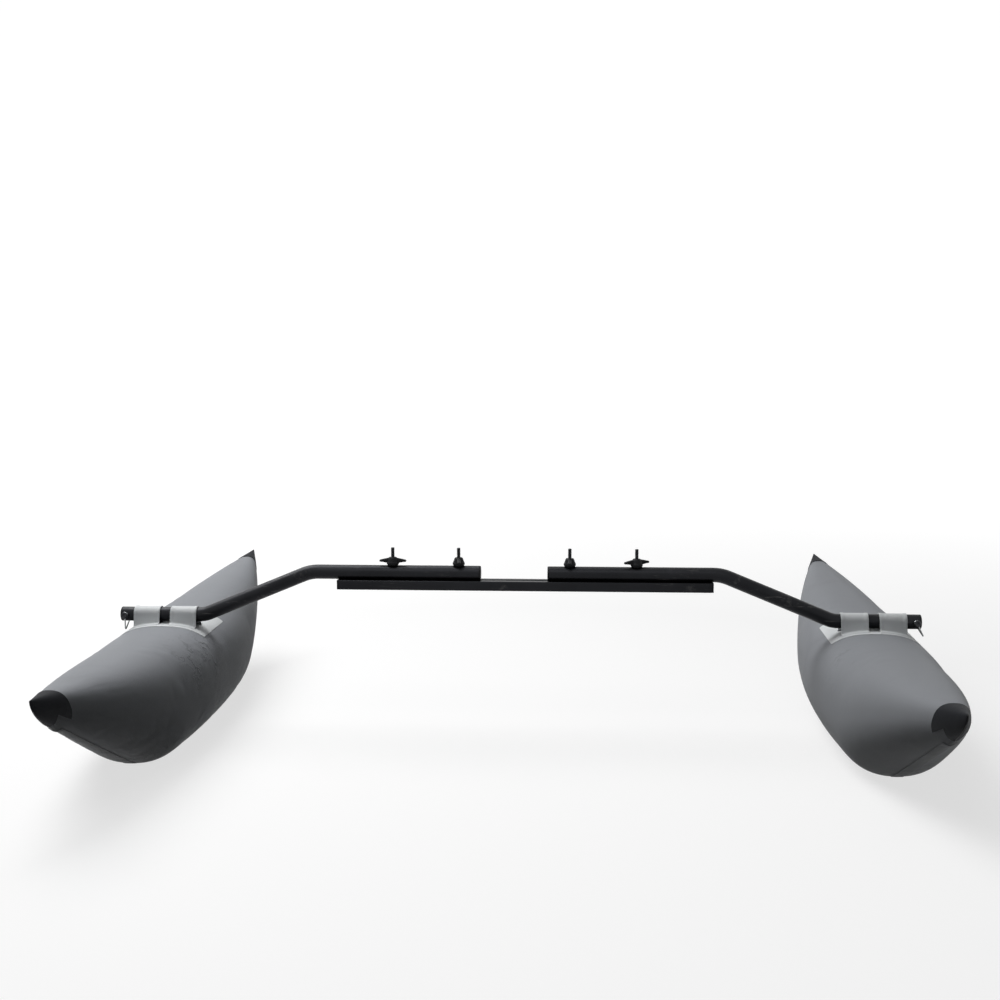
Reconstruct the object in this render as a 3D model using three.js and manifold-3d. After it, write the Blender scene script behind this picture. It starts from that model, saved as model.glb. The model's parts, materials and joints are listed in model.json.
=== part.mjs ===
// Kayak outrigger: a slotted cross rail, two cranked tube arms clamped on it by wing knobs,
// and an inflatable float hung under the outer end of each arm in two fabric sleeves.
// Millimetres. +X is the right side, +Y points forward, +Z is up.
// The origin lies on the ground under the middle of the two floats.
import * as THREE from "three";
import { mergeVertices } from "three/addons/utils/BufferGeometryUtils.js";
import Module from "manifold-3d";

const wasm = await Module();
wasm.setup();

// Fits
const fitGap = 0.3;
const overrun = 5;
const weldGap = 0.3;

// Cross rail: an extrusion with a T slot along its top
const railLength = 824;
const railWidth = 40;
const railHeight = 21;
const railChamfer = 1.2;
const slotWidth = 9;
const lipThickness = 4;
const channelWidth = 19;
const channelHeight = 8;
const chamberWidth = 6;
const chamberWall = 2.2;
const railShiftX = 22;
const deckHoleDiameter = 6.5;
const deckHoleInset = 34;
const deckHoleHalfPitch = 42;
const endCapThickness = 3;
const endCapTongueLength = 8;

// Arm: a round tube with two bends
const tubeDiameter = 32;
const tubeWall = 2.5;
const innerEndToStud = 49;
const railEndToBend = 21;
const slopeRun = 243;
const armDrop = 100;
const bendToFloatCentre = 87;
const bendToTubeEnd = 187;
const innerBendRadius = 90;
const outerBendRadius = 57;
const plugFlange = 2.5;
const plugLength = 16;
const plugRounding = 1;

// Clamp: T bolt, washer and wing knob
const studDiameter = 8;
const studHoleClearance = 0.4;
const threadClearance = 0.3;
const boltHeadLength = 16;
const boltHeadWidth = 17;
const boltHeadHeight = 5;
const studRise = 56;
const studTipChamfer = 1;
const washerDiameter = 24;
const washerThickness = 1.5;
const knobHeight = 16.5;
const knobNeckDiameter = 27;
const knobNeckHeight = 6;
const knobCrownDiameter = 17;
const knobSpan = 60;
const knobWingRise = 6.5;
const knobWingTipHeight = 4;
const knobWingThickness = 8;
const knobCollarDiameter = 22;
const knobTurns = { right_inner: 90, right_outer: 24, left_inner: 82, left_outer: 0 };

// Lock pin and its wire bail at the outer end of each arm
const pinDiameter = 8;
const pinToTubeEnd = 8.5;
const pinHeadDiameter = 15;
const pinHeadThickness = 4;
const pinDimpleDiameter = 6;
const pinDimpleDepth = 1.2;
const pinTipLength = 5;
const pinTipChamfer = 1.5;
const bailWire = 3;
const bailReach = 36;
const bailShortReach = 17;
const bailCornerCut = 9;
const bailShoulderCut = 5;
const bailLeans = { right: 27, left: 0 };

// Inflatable float
const floatAftLength = 780;
const floatForeLength = 820;
const floatWidth = 266;
const floatDepth = 247;
const floatTipRise = 32;
const taperLength = 512;
const stemLength = 94;
const stemDepth = 69;
const skinThickness = 1;
const innerTipStart = 24;

// Tip patches, keel tapes, saddle pad and sleeves
const tipPatchThickness = 1;
const tipPatchTop = 88;
const tipPatchPoint = 110;
const tipPatchNotch = 70;
const tipPatchLobe = 84;
const keelTapeThickness = 0.9;
const keelTapeWidth = 24;
const keelTapeStart = 104;
const keelTapeToTaperEnd = 12;
const padThickness = 1.2;
const padAftReach = 44;
const padForeReach = 120;
const padHalfWidth = 95;
const tubeToPad = 2.2;
const sleeveWidth = 59;
const sleevePitch = 83;
const sleeveThickness = 1.6;
const sleeveSlack = 0.4;
const sleeveFootSpread = 20;
const sleeveFootLength = 14;

// Air valve on the outer flank
const valveAheadOfArm = 230;
const valveTilt = 18;
const valveFlangeDiameter = 46;
const valveFlangeHeight = 2.2;
const valveStemDiameter = 26;
const valveStemDepth = 12;
const valveBoreDiameter = 17;
const valveCapDiameter = 32;
const valveCapHeight = 8;
const valvePlugDepth = 7;
const valveGripCount = 12;
const valveGripDiameter = 4;

// Shares of the sizes above that give the float its form
const stemCurveShare = 0.62;
const tipRisePowerShare = 1.4;
const crownShare = 2.6;
const bellyShare = 2.25;
const tipBellyShare = 1.7;
const tipWaistShare = 0.43;
const midWaistShare = 0.5;
const stemStationShares = [0.07, 0.2, 0.42, 0.7, 1];
const taperStationShares = [0.12, 0.28, 0.46, 0.64, 0.82, 1];
const notchHeightShares = { side: 0.74, apex: 0.48 };

// Facet counts
const tubeSides = 20;
const boreSides = 12;
const floatSides = 20;
const roundSides = 16;
const eyeSteps = 12;
const wireSides = 6;
const bendSteps = 4;
const curveSteps = 6;
const steepShare = 0.9;

// Places of the studs along each half of the rail, as shares of that half
const studShares = { inner: 0.2985, outer: 0.6553 };
const mergeTolerance = 1e-4;

// Sizes that follow
const tubeRadius = tubeDiameter / 2;
const tubeBore = tubeDiameter - 2 * tubeWall;
const plugDiameter = tubeBore * Math.cos(Math.PI / boreSides) - 2 * fitGap;
const tubeSeat = Math.sqrt(tubeRadius ** 2 - (slotWidth / 2) ** 2) + fitGap;
const railLeftX = railShiftX - railLength / 2;
const railRightX = railShiftX + railLength / 2;
const innerStudX = (railLength / 2) * studShares.inner;
const outerStudX = (railLength / 2) * studShares.outer;
const innerTubeStart = innerStudX - innerEndToStud + plugFlange + fitGap;
const innerBendX = railRightX + railEndToBend;
const outerBendX = innerBendX + slopeRun;
const floatCentreX = outerBendX + bendToFloatCentre;
const tubeEndX = outerBendX + bendToTubeEnd;
const pinX = tubeEndX - pinToTubeEnd;
const midTopZ = -(tubeRadius + tubeToPad + padThickness + weldGap);
const armY = (floatAftLength - floatForeLength) / 2;
const washerZ = tubeRadius + fitGap;
const knobZ = washerZ + washerThickness + fitGap;
const bailPlaneY = tubeRadius + fitGap + bailWire / 2;
const pinHeadY = bailPlaneY + bailWire / 2 + fitGap;

// Materials
function material(colour, roughness, metalness) {
  return new THREE.MeshStandardMaterial({ color: colour, roughness: roughness, metalness: metalness });
}
const blackAlloy = material(0x1d1e21, 0.45, 0.7);
const blackPlastic = material(0x17181a, 0.6, 0);
const steel = material(0x8f9296, 0.35, 1);
const darkSteel = material(0x3a3c3f, 0.4, 1);
const greyFabric = material(0x84878b, 0.5, 0);
const lightFabric = material(0xb4b8ba, 0.55, 0);
const blackFabric = material(0x1b1c1e, 0.55, 0);
const tapeFabric = material(0x6d7074, 0.5, 0);

// A closed geometry as a solid that can be joined and cut
function solidOf(geometry) {
  const bare = new THREE.BufferGeometry();
  bare.setAttribute("position", geometry.getAttribute("position").clone());
  if (geometry.index) {
    bare.setIndex(geometry.index.clone());
  }
  const merged = mergeVertices(bare, mergeTolerance);
  const corners = merged.index.array;
  const triVerts = [];
  for (let i = 0; i < corners.length; i += 3) {
    const [a, b, c] = [corners[i], corners[i + 1], corners[i + 2]];
    if (a !== b && b !== c && c !== a) {
      triVerts.push(a, b, c);
    }
  }
  const vertProperties = merged.getAttribute("position").array;
  return new wasm.Manifold(
    new wasm.Mesh({ numProp: 3, vertProperties, triVerts: new Uint32Array(triVerts) }),
  );
}

// A solid back as a geometry
function geometryOf(solid) {
  const mesh = solid.getMesh();
  const geometry = new THREE.BufferGeometry();
  geometry.setAttribute("position", new THREE.BufferAttribute(mesh.vertProperties, mesh.numProp));
  geometry.setIndex(new THREE.BufferAttribute(mesh.triVerts, 1));
  geometry.computeVertexNormals();
  return geometry;
}

// A closed solid through rings that have equal numbers of points, each end closed by a fan
function loft(rings) {
  const sides = rings[0].length;
  const points = rings.flat();
  const startCentre = points.length;
  const endCentre = startCentre + 1;
  points.push(middleOf(rings[0]), middleOf(rings[rings.length - 1]));
  const index = [];
  for (let i = 0; i < rings.length - 1; i += 1) {
    for (let j = 0; j < sides; j += 1) {
      const a = i * sides + j;
      const b = i * sides + ((j + 1) % sides);
      index.push(a, b, a + sides, b, b + sides, a + sides);
    }
  }
  const last = (rings.length - 1) * sides;
  for (let j = 0; j < sides; j += 1) {
    const next = (j + 1) % sides;
    index.push(startCentre, next, j, endCentre, last + j, last + next);
  }
  const geometry = new THREE.BufferGeometry().setFromPoints(points);
  geometry.setIndex(index);
  return geometry;
}

function middleOf(ring) {
  const sum = new THREE.Vector3();
  ring.forEach((point) => sum.add(point));
  return sum.divideScalar(ring.length);
}

// A round rod along a line of points, its rings square to the line
function rod(points, radius, sides) {
  const tangentAt = (i) => {
    const before = points[Math.max(i - 1, 0)];
    const after = points[Math.min(i + 1, points.length - 1)];
    return after.clone().sub(before).normalize();
  };
  const side = new THREE.Vector3(0, 1, 0);
  if (Math.abs(tangentAt(0).y) > steepShare) {
    side.set(1, 0, 0);
  }
  const rings = points.map((point, i) => {
    const tangent = tangentAt(i);
    side.addScaledVector(tangent, -side.dot(tangent)).normalize();
    const up = tangent.clone().cross(side);
    const ring = [];
    for (let k = 0; k < sides; k += 1) {
      const angle = (2 * Math.PI * (k + 0.5)) / sides;
      const offset = side.clone().multiplyScalar(radius * Math.cos(angle));
      offset.addScaledVector(up, radius * Math.sin(angle));
      ring.push(point.clone().add(offset));
    }
    return ring;
  });
  return loft(rings);
}

// Extrusions and turned shapes laid along the row's axes
const alongX = new THREE.Matrix4().makeBasis(
  new THREE.Vector3(0, 1, 0),
  new THREE.Vector3(0, 0, 1),
  new THREE.Vector3(1, 0, 0),
);
const alongY = new THREE.Matrix4().makeBasis(
  new THREE.Vector3(0, 0, 1),
  new THREE.Vector3(1, 0, 0),
  new THREE.Vector3(0, 1, 0),
);

function pulled(shape, from, to) {
  const settings = { depth: to - from, bevelEnabled: false, curveSegments: curveSteps };
  return new THREE.ExtrudeGeometry(shape, settings).translate(0, 0, from);
}

// An outline in Y and Z pulled along X from one place to another
function pulledAlongX(shape, from, to) {
  return pulled(shape, from, to).applyMatrix4(alongX);
}

// An outline in Z and X pulled along Y from one place to another
function pulledAlongY(shape, from, to) {
  return pulled(shape, from, to).applyMatrix4(alongY);
}

function outline(pairs) {
  return new THREE.Shape(pairs.map(([x, y]) => new THREE.Vector2(x, y)));
}

// A turned solid about Z from pairs of radius and height, listed upwards along the outside
function turned(pairs, sides) {
  const profile = pairs.map(([radius, height]) => new THREE.Vector2(radius, height));
  const geometry = new THREE.LatheGeometry(profile, sides);
  return geometry.rotateX(Math.PI / 2);
}

function cylinderZ(diameter, from, to, sides) {
  const radius = diameter / 2;
  return turned([[0, from], [radius, from], [radius, to], [0, to]], sides);
}

function cylinderY(diameter, from, to, sides) {
  return cylinderZ(diameter, -to, -from, sides).rotateX(Math.PI / 2);
}

function block(lengthX, lengthY, lengthZ, x, y, z) {
  return new THREE.BoxGeometry(lengthX, lengthY, lengthZ).translate(x, y, z);
}

function named(name, geometry, meshMaterial) {
  const mesh = new THREE.Mesh(geometry, meshMaterial);
  mesh.name = name;
  return mesh;
}

// Cross rail
function railOutline() {
  const half = railWidth / 2;
  return [
    [-half + railChamfer, 0],
    [half - railChamfer, 0],
    [half, railChamfer],
    [half, railHeight - railChamfer],
    [half - railChamfer, railHeight],
    [-half + railChamfer, railHeight],
    [-half, railHeight - railChamfer],
    [-half, railChamfer],
  ];
}

function crossRail() {
  let solid = solidOf(pulledAlongX(outline(railOutline()), railLeftX, railRightX));
  const cutLength = railLength + 2 * overrun;
  const chamberHeight = railHeight - 2 * chamberWall;
  const chamberY = (railWidth + channelWidth) / 4;
  for (const side of [-1, 1]) {
    const chamber = block(cutLength, chamberWidth, chamberHeight, railShiftX, side * chamberY, railHeight / 2);
    solid = solid.subtract(solidOf(chamber));
  }
  const slot = outline([
    [-slotWidth / 2, railHeight + overrun],
    [-slotWidth / 2, railHeight - lipThickness],
    [-channelWidth / 2, railHeight - lipThickness],
    [-channelWidth / 2, railHeight - lipThickness - channelHeight],
    [channelWidth / 2, railHeight - lipThickness - channelHeight],
    [channelWidth / 2, railHeight - lipThickness],
    [slotWidth / 2, railHeight - lipThickness],
    [slotWidth / 2, railHeight + overrun],
  ]);
  solid = solid.subtract(solidOf(pulledAlongX(slot, railLeftX - overrun, railRightX + overrun)));
  const holesX = [
    railLeftX + deckHoleInset,
    railShiftX - deckHoleHalfPitch,
    railShiftX + deckHoleHalfPitch,
    railRightX - deckHoleInset,
  ];
  for (const x of holesX) {
    const hole = cylinderZ(deckHoleDiameter, -overrun, railHeight - lipThickness, roundSides).translate(x, 0, 0);
    solid = solid.subtract(solidOf(hole));
  }
  return geometryOf(solid);
}

// End cap of the rail, drawn for the right end with its tongue pointing back into the channel
function railEndCap() {
  const plate = pulledAlongX(outline(railOutline()), fitGap, fitGap + endCapThickness);
  const tongueWidth = channelWidth - 2 * fitGap;
  const tongueHeight = channelHeight - 2 * fitGap;
  const tongueZ = railHeight - lipThickness - channelHeight / 2;
  const tongueX = (fitGap + endCapThickness / 2 - endCapTongueLength) / 2;
  const tongueLength = endCapTongueLength + fitGap + endCapThickness / 2;
  const tongue = block(tongueLength, tongueWidth, tongueHeight, tongueX, 0, tongueZ);
  const notchDepth = lipThickness + overrun;
  const notchZ = railHeight + (overrun - lipThickness) / 2;
  const notch = block(2 * endCapTongueLength, slotWidth, notchDepth, 0, 0, notchZ);
  return geometryOf(solidOf(plate).subtract(solidOf(notch)).add(solidOf(tongue)));
}

// Centre line of an arm, from its inner end out, with its height counted from the inner straight
function armLine(from, to) {
  const slope = Math.atan2(armDrop, slopeRun);
  const points = [new THREE.Vector3(from, 0, 0)];
  addBend(points, new THREE.Vector3(innerBendX, 0, 0), innerBendRadius, 0, slope);
  addBend(points, new THREE.Vector3(outerBendX, 0, -armDrop), outerBendRadius, slope, 0);
  points.push(new THREE.Vector3(to, 0, -armDrop));
  return points;
}

// Adds the arc that rounds a corner, between two downward slopes
function addBend(points, corner, radius, slopeBefore, slopeAfter) {
  const turn = slopeAfter - slopeBefore;
  const reach = radius * Math.tan(Math.abs(turn) / 2);
  const bow = Math.sign(turn);
  const startX = corner.x - reach * Math.cos(slopeBefore);
  const startZ = corner.z + reach * Math.sin(slopeBefore);
  const centreX = startX - bow * radius * Math.sin(slopeBefore);
  const centreZ = startZ - bow * radius * Math.cos(slopeBefore);
  for (let i = 0; i <= bendSteps; i += 1) {
    const slope = slopeBefore + (turn * i) / bendSteps;
    const x = centreX + bow * radius * Math.sin(slope);
    const z = centreZ + bow * radius * Math.cos(slope);
    points.push(new THREE.Vector3(x, 0, z));
  }
}

function armTube() {
  let solid = solidOf(rod(armLine(innerTubeStart, tubeEndX), tubeRadius, tubeSides));
  const bore = rod(armLine(innerTubeStart - overrun, tubeEndX + overrun), tubeBore / 2, boreSides);
  solid = solid.subtract(solidOf(bore));
  const studHole = studDiameter + 2 * studHoleClearance;
  for (const x of [innerStudX, outerStudX]) {
    const hole = cylinderZ(studHole, -tubeDiameter, tubeDiameter, roundSides).translate(x, 0, 0);
    solid = solid.subtract(solidOf(hole));
  }
  return geometryOf(solid.subtract(solidOf(pinHole())));
}

function pinHole() {
  const hole = cylinderY(pinDiameter + 2 * fitGap, -tubeDiameter, tubeDiameter, roundSides);
  return hole.translate(pinX, 0, -armDrop);
}

// Plug for a tube end, its flange outside at zero and its body reaching towards -X
function tubePlug() {
  const body = plugDiameter / 2;
  const pairs = [
    [0, -plugLength],
    [body - plugRounding, -plugLength],
    [body, -plugLength + plugRounding],
    [body, fitGap],
    [tubeRadius, fitGap],
    [tubeRadius, fitGap + plugFlange - plugRounding],
    [tubeRadius - plugRounding, fitGap + plugFlange],
    [0, fitGap + plugFlange],
  ];
  return turned(pairs, roundSides).rotateY(Math.PI / 2);
}

function innerPlug() {
  return tubePlug().rotateZ(Math.PI).translate(innerTubeStart, 0, 0);
}

function outerPlug() {
  const plug = tubePlug().translate(tubeEndX, 0, -armDrop);
  return geometryOf(solidOf(plug).subtract(solidOf(pinHole())));
}

// T bolt: its head slides in the channel under the lips, its stud passes through the arm
function tBolt() {
  const headTop = -(tubeSeat + lipThickness + fitGap);
  const head = block(boltHeadLength, boltHeadWidth, boltHeadHeight, 0, 0, headTop - boltHeadHeight / 2);
  const radius = studDiameter / 2;
  const stud = turned([
    [0, headTop - boltHeadHeight / 2],
    [radius, headTop - boltHeadHeight / 2],
    [radius, studRise - studTipChamfer],
    [radius - studTipChamfer, studRise],
    [0, studRise],
  ], roundSides);
  return geometryOf(solidOf(head).add(solidOf(stud)));
}

function clampWasher() {
  const bore = studDiameter / 2 + threadClearance;
  const rim = washerDiameter / 2;
  const pairs = [[bore, washerZ], [rim, washerZ], [rim, knobZ - fitGap], [bore, knobZ - fitGap], [bore, washerZ]];
  return turned(pairs, roundSides);
}

// Wing knob: a round neck, two wings that taper to their tips, and a crown with the stud's bore
function wingKnob() {
  const hub = turned([
    [0, 0],
    [knobNeckDiameter / 2, 0],
    [knobNeckDiameter / 2, knobNeckHeight],
    [knobCollarDiameter / 2, knobWingRise + knobWingTipHeight],
    [knobCrownDiameter / 2, knobHeight],
    [0, knobHeight],
  ], roundSides);
  const tip = knobSpan / 2;
  const crown = knobCrownDiameter / 2;
  const tipTop = knobWingRise + knobWingTipHeight;
  const wings = new THREE.Shape();
  wings.moveTo(knobNeckHeight / 2, -crown);
  wings.quadraticCurveTo(knobNeckHeight, -knobNeckDiameter / 2, knobWingRise, -tip);
  wings.lineTo(tipTop, -tip);
  wings.lineTo(knobHeight, -crown);
  wings.lineTo(knobHeight, crown);
  wings.lineTo(tipTop, tip);
  wings.lineTo(knobWingRise, tip);
  wings.quadraticCurveTo(knobNeckHeight, knobNeckDiameter / 2, knobNeckHeight / 2, crown);
  const pair = pulledAlongY(wings, -knobWingThickness / 2, knobWingThickness / 2);
  const bore = cylinderZ(studDiameter + 2 * threadClearance, -overrun, knobHeight + overrun, roundSides);
  return geometryOf(solidOf(hub).add(solidOf(pair)).subtract(solidOf(bore)));
}

// Lock pin through the tube end, its head on the aft side
function lockPin() {
  const shank = pinDiameter / 2;
  const tipEnd = bailPlaneY + bailWire / 2 + pinTipLength;
  const pin = turned([
    [0, -tipEnd],
    [shank - pinTipChamfer, -tipEnd],
    [shank, -tipEnd + pinTipChamfer],
    [shank, pinHeadY],
    [pinHeadDiameter / 2, pinHeadY],
    [pinHeadDiameter / 2, pinHeadY + pinHeadThickness],
    [pinDimpleDiameter / 2, pinHeadY + pinHeadThickness],
    [0, pinHeadY + pinHeadThickness - pinDimpleDepth],
  ], roundSides);
  return pin.rotateX(Math.PI / 2);
}

// Points of a bend that cuts a corner between two straight runs
function cutCorner(before, corner, after, cut) {
  const from = corner.clone().add(before.clone().sub(corner).setLength(cut));
  const to = corner.clone().add(after.clone().sub(corner).setLength(cut));
  return new THREE.QuadraticBezierCurve3(from, corner, to).getPoints(2 * bendSteps);
}

// Wire bail: an eye round each end of the pin, joined by a bow that is deeper on the head's side
function wireBail() {
  const wireRadius = bailWire / 2;
  const eyeRadius = pinDiameter / 2 + fitGap + wireRadius;
  const headEye = new THREE.Vector3(0, -bailPlaneY, -eyeRadius);
  const corner = new THREE.Vector3(0, -bailPlaneY, wireRadius - bailReach);
  const shoulder = new THREE.Vector3(0, bailPlaneY, wireRadius - bailShortReach);
  const tipEye = new THREE.Vector3(0, bailPlaneY, -eyeRadius);
  const bow = [
    headEye,
    ...cutCorner(headEye, corner, shoulder, bailCornerCut),
    ...cutCorner(corner, shoulder, tipEye, bailShoulderCut),
    tipEye,
  ];
  let solid = solidOf(rod(bow, wireRadius, wireSides));
  for (const side of [-1, 1]) {
    const eye = new THREE.TorusGeometry(eyeRadius, wireRadius, wireSides, eyeSteps);
    eye.rotateX(Math.PI / 2).translate(0, side * bailPlaneY, 0);
    solid = solid.add(solidOf(eye));
  }
  return geometryOf(solid);
}

// Float form. Heights count from the crown at mid length, and a section is given by its distance from a tip.
function floatSection(y, offset) {
  const length = y < 0 ? floatAftLength : floatForeLength;
  const fromTip = Math.max(length - Math.abs(y), 0);
  const along = Math.abs(y) / length;
  const taper = Math.min(fromTip / taperLength, 1);
  const crown = floatTipRise * along ** tipRisePowerShare;
  const stem = stemDepth * (fromTip / stemLength) ** stemCurveShare;
  const stemFoot = floatTipRise * (1 - stemLength / length) ** tipRisePowerShare - stemDepth;
  const keelRun = THREE.MathUtils.clamp((fromTip - stemLength) / (taperLength - stemLength), 0, 1);
  const keel = stemFoot - (floatDepth + stemFoot) * keelRun;
  const depth = fromTip < stemLength ? stem : crown - keel;
  const width = floatWidth * (1 - along ** 2);
  const waist = tipWaistShare + (midWaistShare - tipWaistShare) * taper;
  return {
    halfWidth: width / 2 + offset,
    above: depth * waist + offset,
    below: depth * (1 - waist) + offset,
    middle: crown - depth * waist,
    belly: tipBellyShare + (bellyShare - tipBellyShare) * taper,
  };
}

// Point of the float's surface at a place along it and an angle that starts outward and turns upward
function floatPoint(y, angle, offset) {
  const section = floatSection(y, offset);
  const across = Math.cos(angle);
  const upward = Math.sin(angle);
  const power = 2 / (upward > 0 ? crownShare : section.belly);
  const reach = upward > 0 ? section.above : section.below;
  const x = section.halfWidth * Math.sign(across) * Math.abs(across) ** power;
  const z = section.middle + reach * Math.sign(upward) * Math.abs(upward) ** power;
  return new THREE.Vector3(x, y, midTopZ + z);
}

function floatRing(y, offset) {
  const ring = [];
  for (let k = 0; k < floatSides; k += 1) {
    ring.push(floatPoint(y, -(2 * Math.PI * (k + 0.5)) / floatSides, offset));
  }
  return ring;
}

// Places along the float where its form is drawn, from the aft tip to the fore tip
function floatStations() {
  const fromTip = stemStationShares.map((share) => share * stemLength);
  const beyond = taperStationShares.map((share) => stemLength + share * (taperLength - stemLength));
  const list = [...fromTip, ...beyond];
  const aft = list.map((distance) => distance - floatAftLength);
  const fore = list.map((distance) => floatForeLength - distance).reverse();
  const middle = [0];
  return [...aft, ...middle, ...fore];
}

// The float's form as one solid, let out or taken in by an offset
function floatForm(offset) {
  const tip = Math.max(offset, 0);
  const start = offset < 0 ? innerTipStart : 0;
  const places = floatStations().filter(
    (y) => y > start - floatAftLength && y < floatForeLength - start,
  );
  const rings = places.map((y) => floatRing(y, offset));
  if (offset >= 0) {
    rings.unshift(tipRing(-floatAftLength, -tip));
    rings.push(tipRing(floatForeLength, tip));
  }
  return solidOf(loft(rings));
}

// A ring drawn in to one point, a little beyond the tip
function tipRing(y, beyond) {
  const point = new THREE.Vector3(0, y + beyond, midTopZ + floatTipRise);
  return Array.from({ length: floatSides }, () => point.clone());
}

const floatBare = floatForm(0);
const floatSeat = floatForm(weldGap);

// Outward direction of the float's flank at the valve, and the place there
const valvePoint = floatPoint(valveAheadOfArm, THREE.MathUtils.degToRad(valveTilt), 0);
const valveAxis = new THREE.Vector3(
  Math.cos(THREE.MathUtils.degToRad(valveTilt)),
  0,
  Math.sin(THREE.MathUtils.degToRad(valveTilt)),
);
const valveTurn = new THREE.Quaternion().setFromUnitVectors(new THREE.Vector3(0, 0, 1), valveAxis);

function atValve(geometry) {
  return geometry.applyQuaternion(valveTurn).translate(valvePoint.x, valvePoint.y, valvePoint.z);
}

function floatSkin() {
  const hollow = floatForm(-skinThickness);
  const port = valveStemDiameter + 2 * fitGap;
  const hole = atValve(cylinderZ(port, -valveFlangeDiameter / 2, valveFlangeDiameter / 2, roundSides));
  return geometryOf(floatBare.subtract(hollow).subtract(solidOf(hole)));
}

// Tip patch with a swallow-tailed edge, seen from the side as an outline in Y and Z
function tipPatch(direction) {
  const length = direction < 0 ? floatAftLength : floatForeLength;
  const place = (distance) => direction * (length - distance);
  const section = floatSection(place(tipPatchPoint), 0);
  const bottom = section.middle - section.below;
  const depth = section.above + section.below;
  const sideZ = midTopZ + bottom + depth * (1 - notchHeightShares.side);
  const apexZ = midTopZ + bottom + depth * (1 - notchHeightShares.apex);
  const high = midTopZ + floatTipRise + overrun;
  const low = midTopZ + bottom - overrun;
  const pairs = [
    [place(-overrun), low],
    [place(-overrun), high],
    [place(tipPatchTop), high],
    [place(tipPatchTop), midTopZ + section.middle + section.above],
    [place(tipPatchPoint), sideZ],
    [place(tipPatchNotch), apexZ],
    [place(tipPatchLobe), low],
  ];
  const ordered = direction < 0 ? pairs.reverse() : pairs;
  const window = solidOf(pulledAlongX(outline(ordered), -floatWidth, floatWidth));
  const cover = floatForm(weldGap + tipPatchThickness).intersect(window);
  return geometryOf(cover.subtract(floatSeat));
}

// Tape over the straight run of a keel seam
function keelTape(direction) {
  const length = direction < 0 ? floatAftLength : floatForeLength;
  const end = taperLength - keelTapeToTaperEnd;
  const middle = direction * (length - (keelTapeStart + end) / 2);
  const run = end - keelTapeStart;
  const section = floatSection(direction * (length - keelTapeStart), 0);
  const top = midTopZ + section.middle - section.below / 2;
  const window = block(keelTapeWidth, run, floatDepth, 0, middle, top - floatDepth / 2);
  const strip = floatForm(weldGap + keelTapeThickness).intersect(solidOf(window));
  return geometryOf(strip.subtract(floatSeat));
}

function saddlePad() {
  const middle = (padForeReach - padAftReach) / 2;
  const window = block(2 * padHalfWidth, padAftReach + padForeReach, floatDepth, 0, middle, midTopZ);
  const cover = floatForm(weldGap + padThickness).intersect(solidOf(window));
  return geometryOf(cover.subtract(floatSeat));
}

// One face of a sleeve, up a leg, over the tube and down the other leg, in Y and Z
function sleeveCurve(radius, spread) {
  const steps = 2 * bendSteps;
  const points = [];
  points.push([-spread, midTopZ - overrun]);
  points.push([-spread, midTopZ + padThickness + weldGap + sleeveThickness]);
  for (let i = 0; i <= steps; i += 1) {
    const angle = Math.PI * (1 - i / steps);
    points.push([radius * Math.cos(angle), radius * Math.sin(angle)]);
  }
  points.push([spread, midTopZ + padThickness + weldGap + sleeveThickness]);
  points.push([spread, midTopZ - overrun]);
  return points;
}

// Fabric sleeve: a strap over the tube with its two feet welded along the pad
function sleeve(centreX) {
  const inner = tubeRadius + sleeveSlack;
  const outer = inner + sleeveThickness;
  const shape = outline([
    ...sleeveCurve(outer, sleeveFootSpread + sleeveThickness),
    ...sleeveCurve(inner, sleeveFootSpread).reverse(),
  ]);
  const from = centreX - sleeveWidth / 2;
  const to = centreX + sleeveWidth / 2;
  const strap = solidOf(pulledAlongX(shape, from, to));
  const seat = floatForm(2 * weldGap + padThickness);
  const cover = floatForm(2 * weldGap + padThickness + sleeveThickness);
  let solid = strap.subtract(seat);
  for (const side of [-1, 1]) {
    const footY = side * (sleeveFootSpread + sleeveFootLength / 2);
    const window = block(sleeveWidth, sleeveFootLength, floatDepth, centreX, footY, midTopZ);
    solid = solid.add(cover.intersect(solidOf(window)).subtract(seat));
  }
  return geometryOf(solid);
}

// Valve body: a welded flange outside and a stem through the skin, with a bore for the air
function valveBody() {
  const rim = atValve(
    cylinderZ(valveFlangeDiameter, -valveFlangeDiameter / 4, valveFlangeHeight, roundSides),
  );
  const stem = atValve(cylinderZ(valveStemDiameter, -valveStemDepth, valveFlangeHeight, roundSides));
  const bore = atValve(cylinderZ(valveBoreDiameter, -valveFlangeDiameter, valveFlangeDiameter, roundSides));
  const flange = solidOf(rim).subtract(floatSeat);
  return geometryOf(flange.add(solidOf(stem)).subtract(solidOf(bore)));
}

// Valve cap: a ribbed lid with a plug that closes the bore
function valveCap() {
  const lidFrom = valveFlangeHeight + fitGap;
  const lidTo = lidFrom + valveCapHeight;
  const lid = cylinderZ(valveCapDiameter, lidFrom, lidTo, roundSides);
  const plug = cylinderZ(valveBoreDiameter - 2 * fitGap, lidFrom - valvePlugDepth, lidTo - fitGap, roundSides);
  let solid = solidOf(lid).add(solidOf(plug));
  for (let i = 0; i < valveGripCount; i += 1) {
    const angle = (2 * Math.PI * i) / valveGripCount;
    const reach = valveCapDiameter / 2;
    const flute = cylinderZ(valveGripDiameter, lidFrom - overrun, lidTo + overrun, wireSides);
    flute.translate(reach * Math.cos(angle), reach * Math.sin(angle), 0);
    solid = solid.subtract(solidOf(flute));
  }
  return atValve(geometryOf(solid));
}

// The ground lies under the flat belly of the floats
const bellyZ = Math.min(...floatRing(0, 0).map((point) => point.z));
const armZ = armDrop - bellyZ;
const railZ = armZ - tubeSeat - railHeight;

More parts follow.
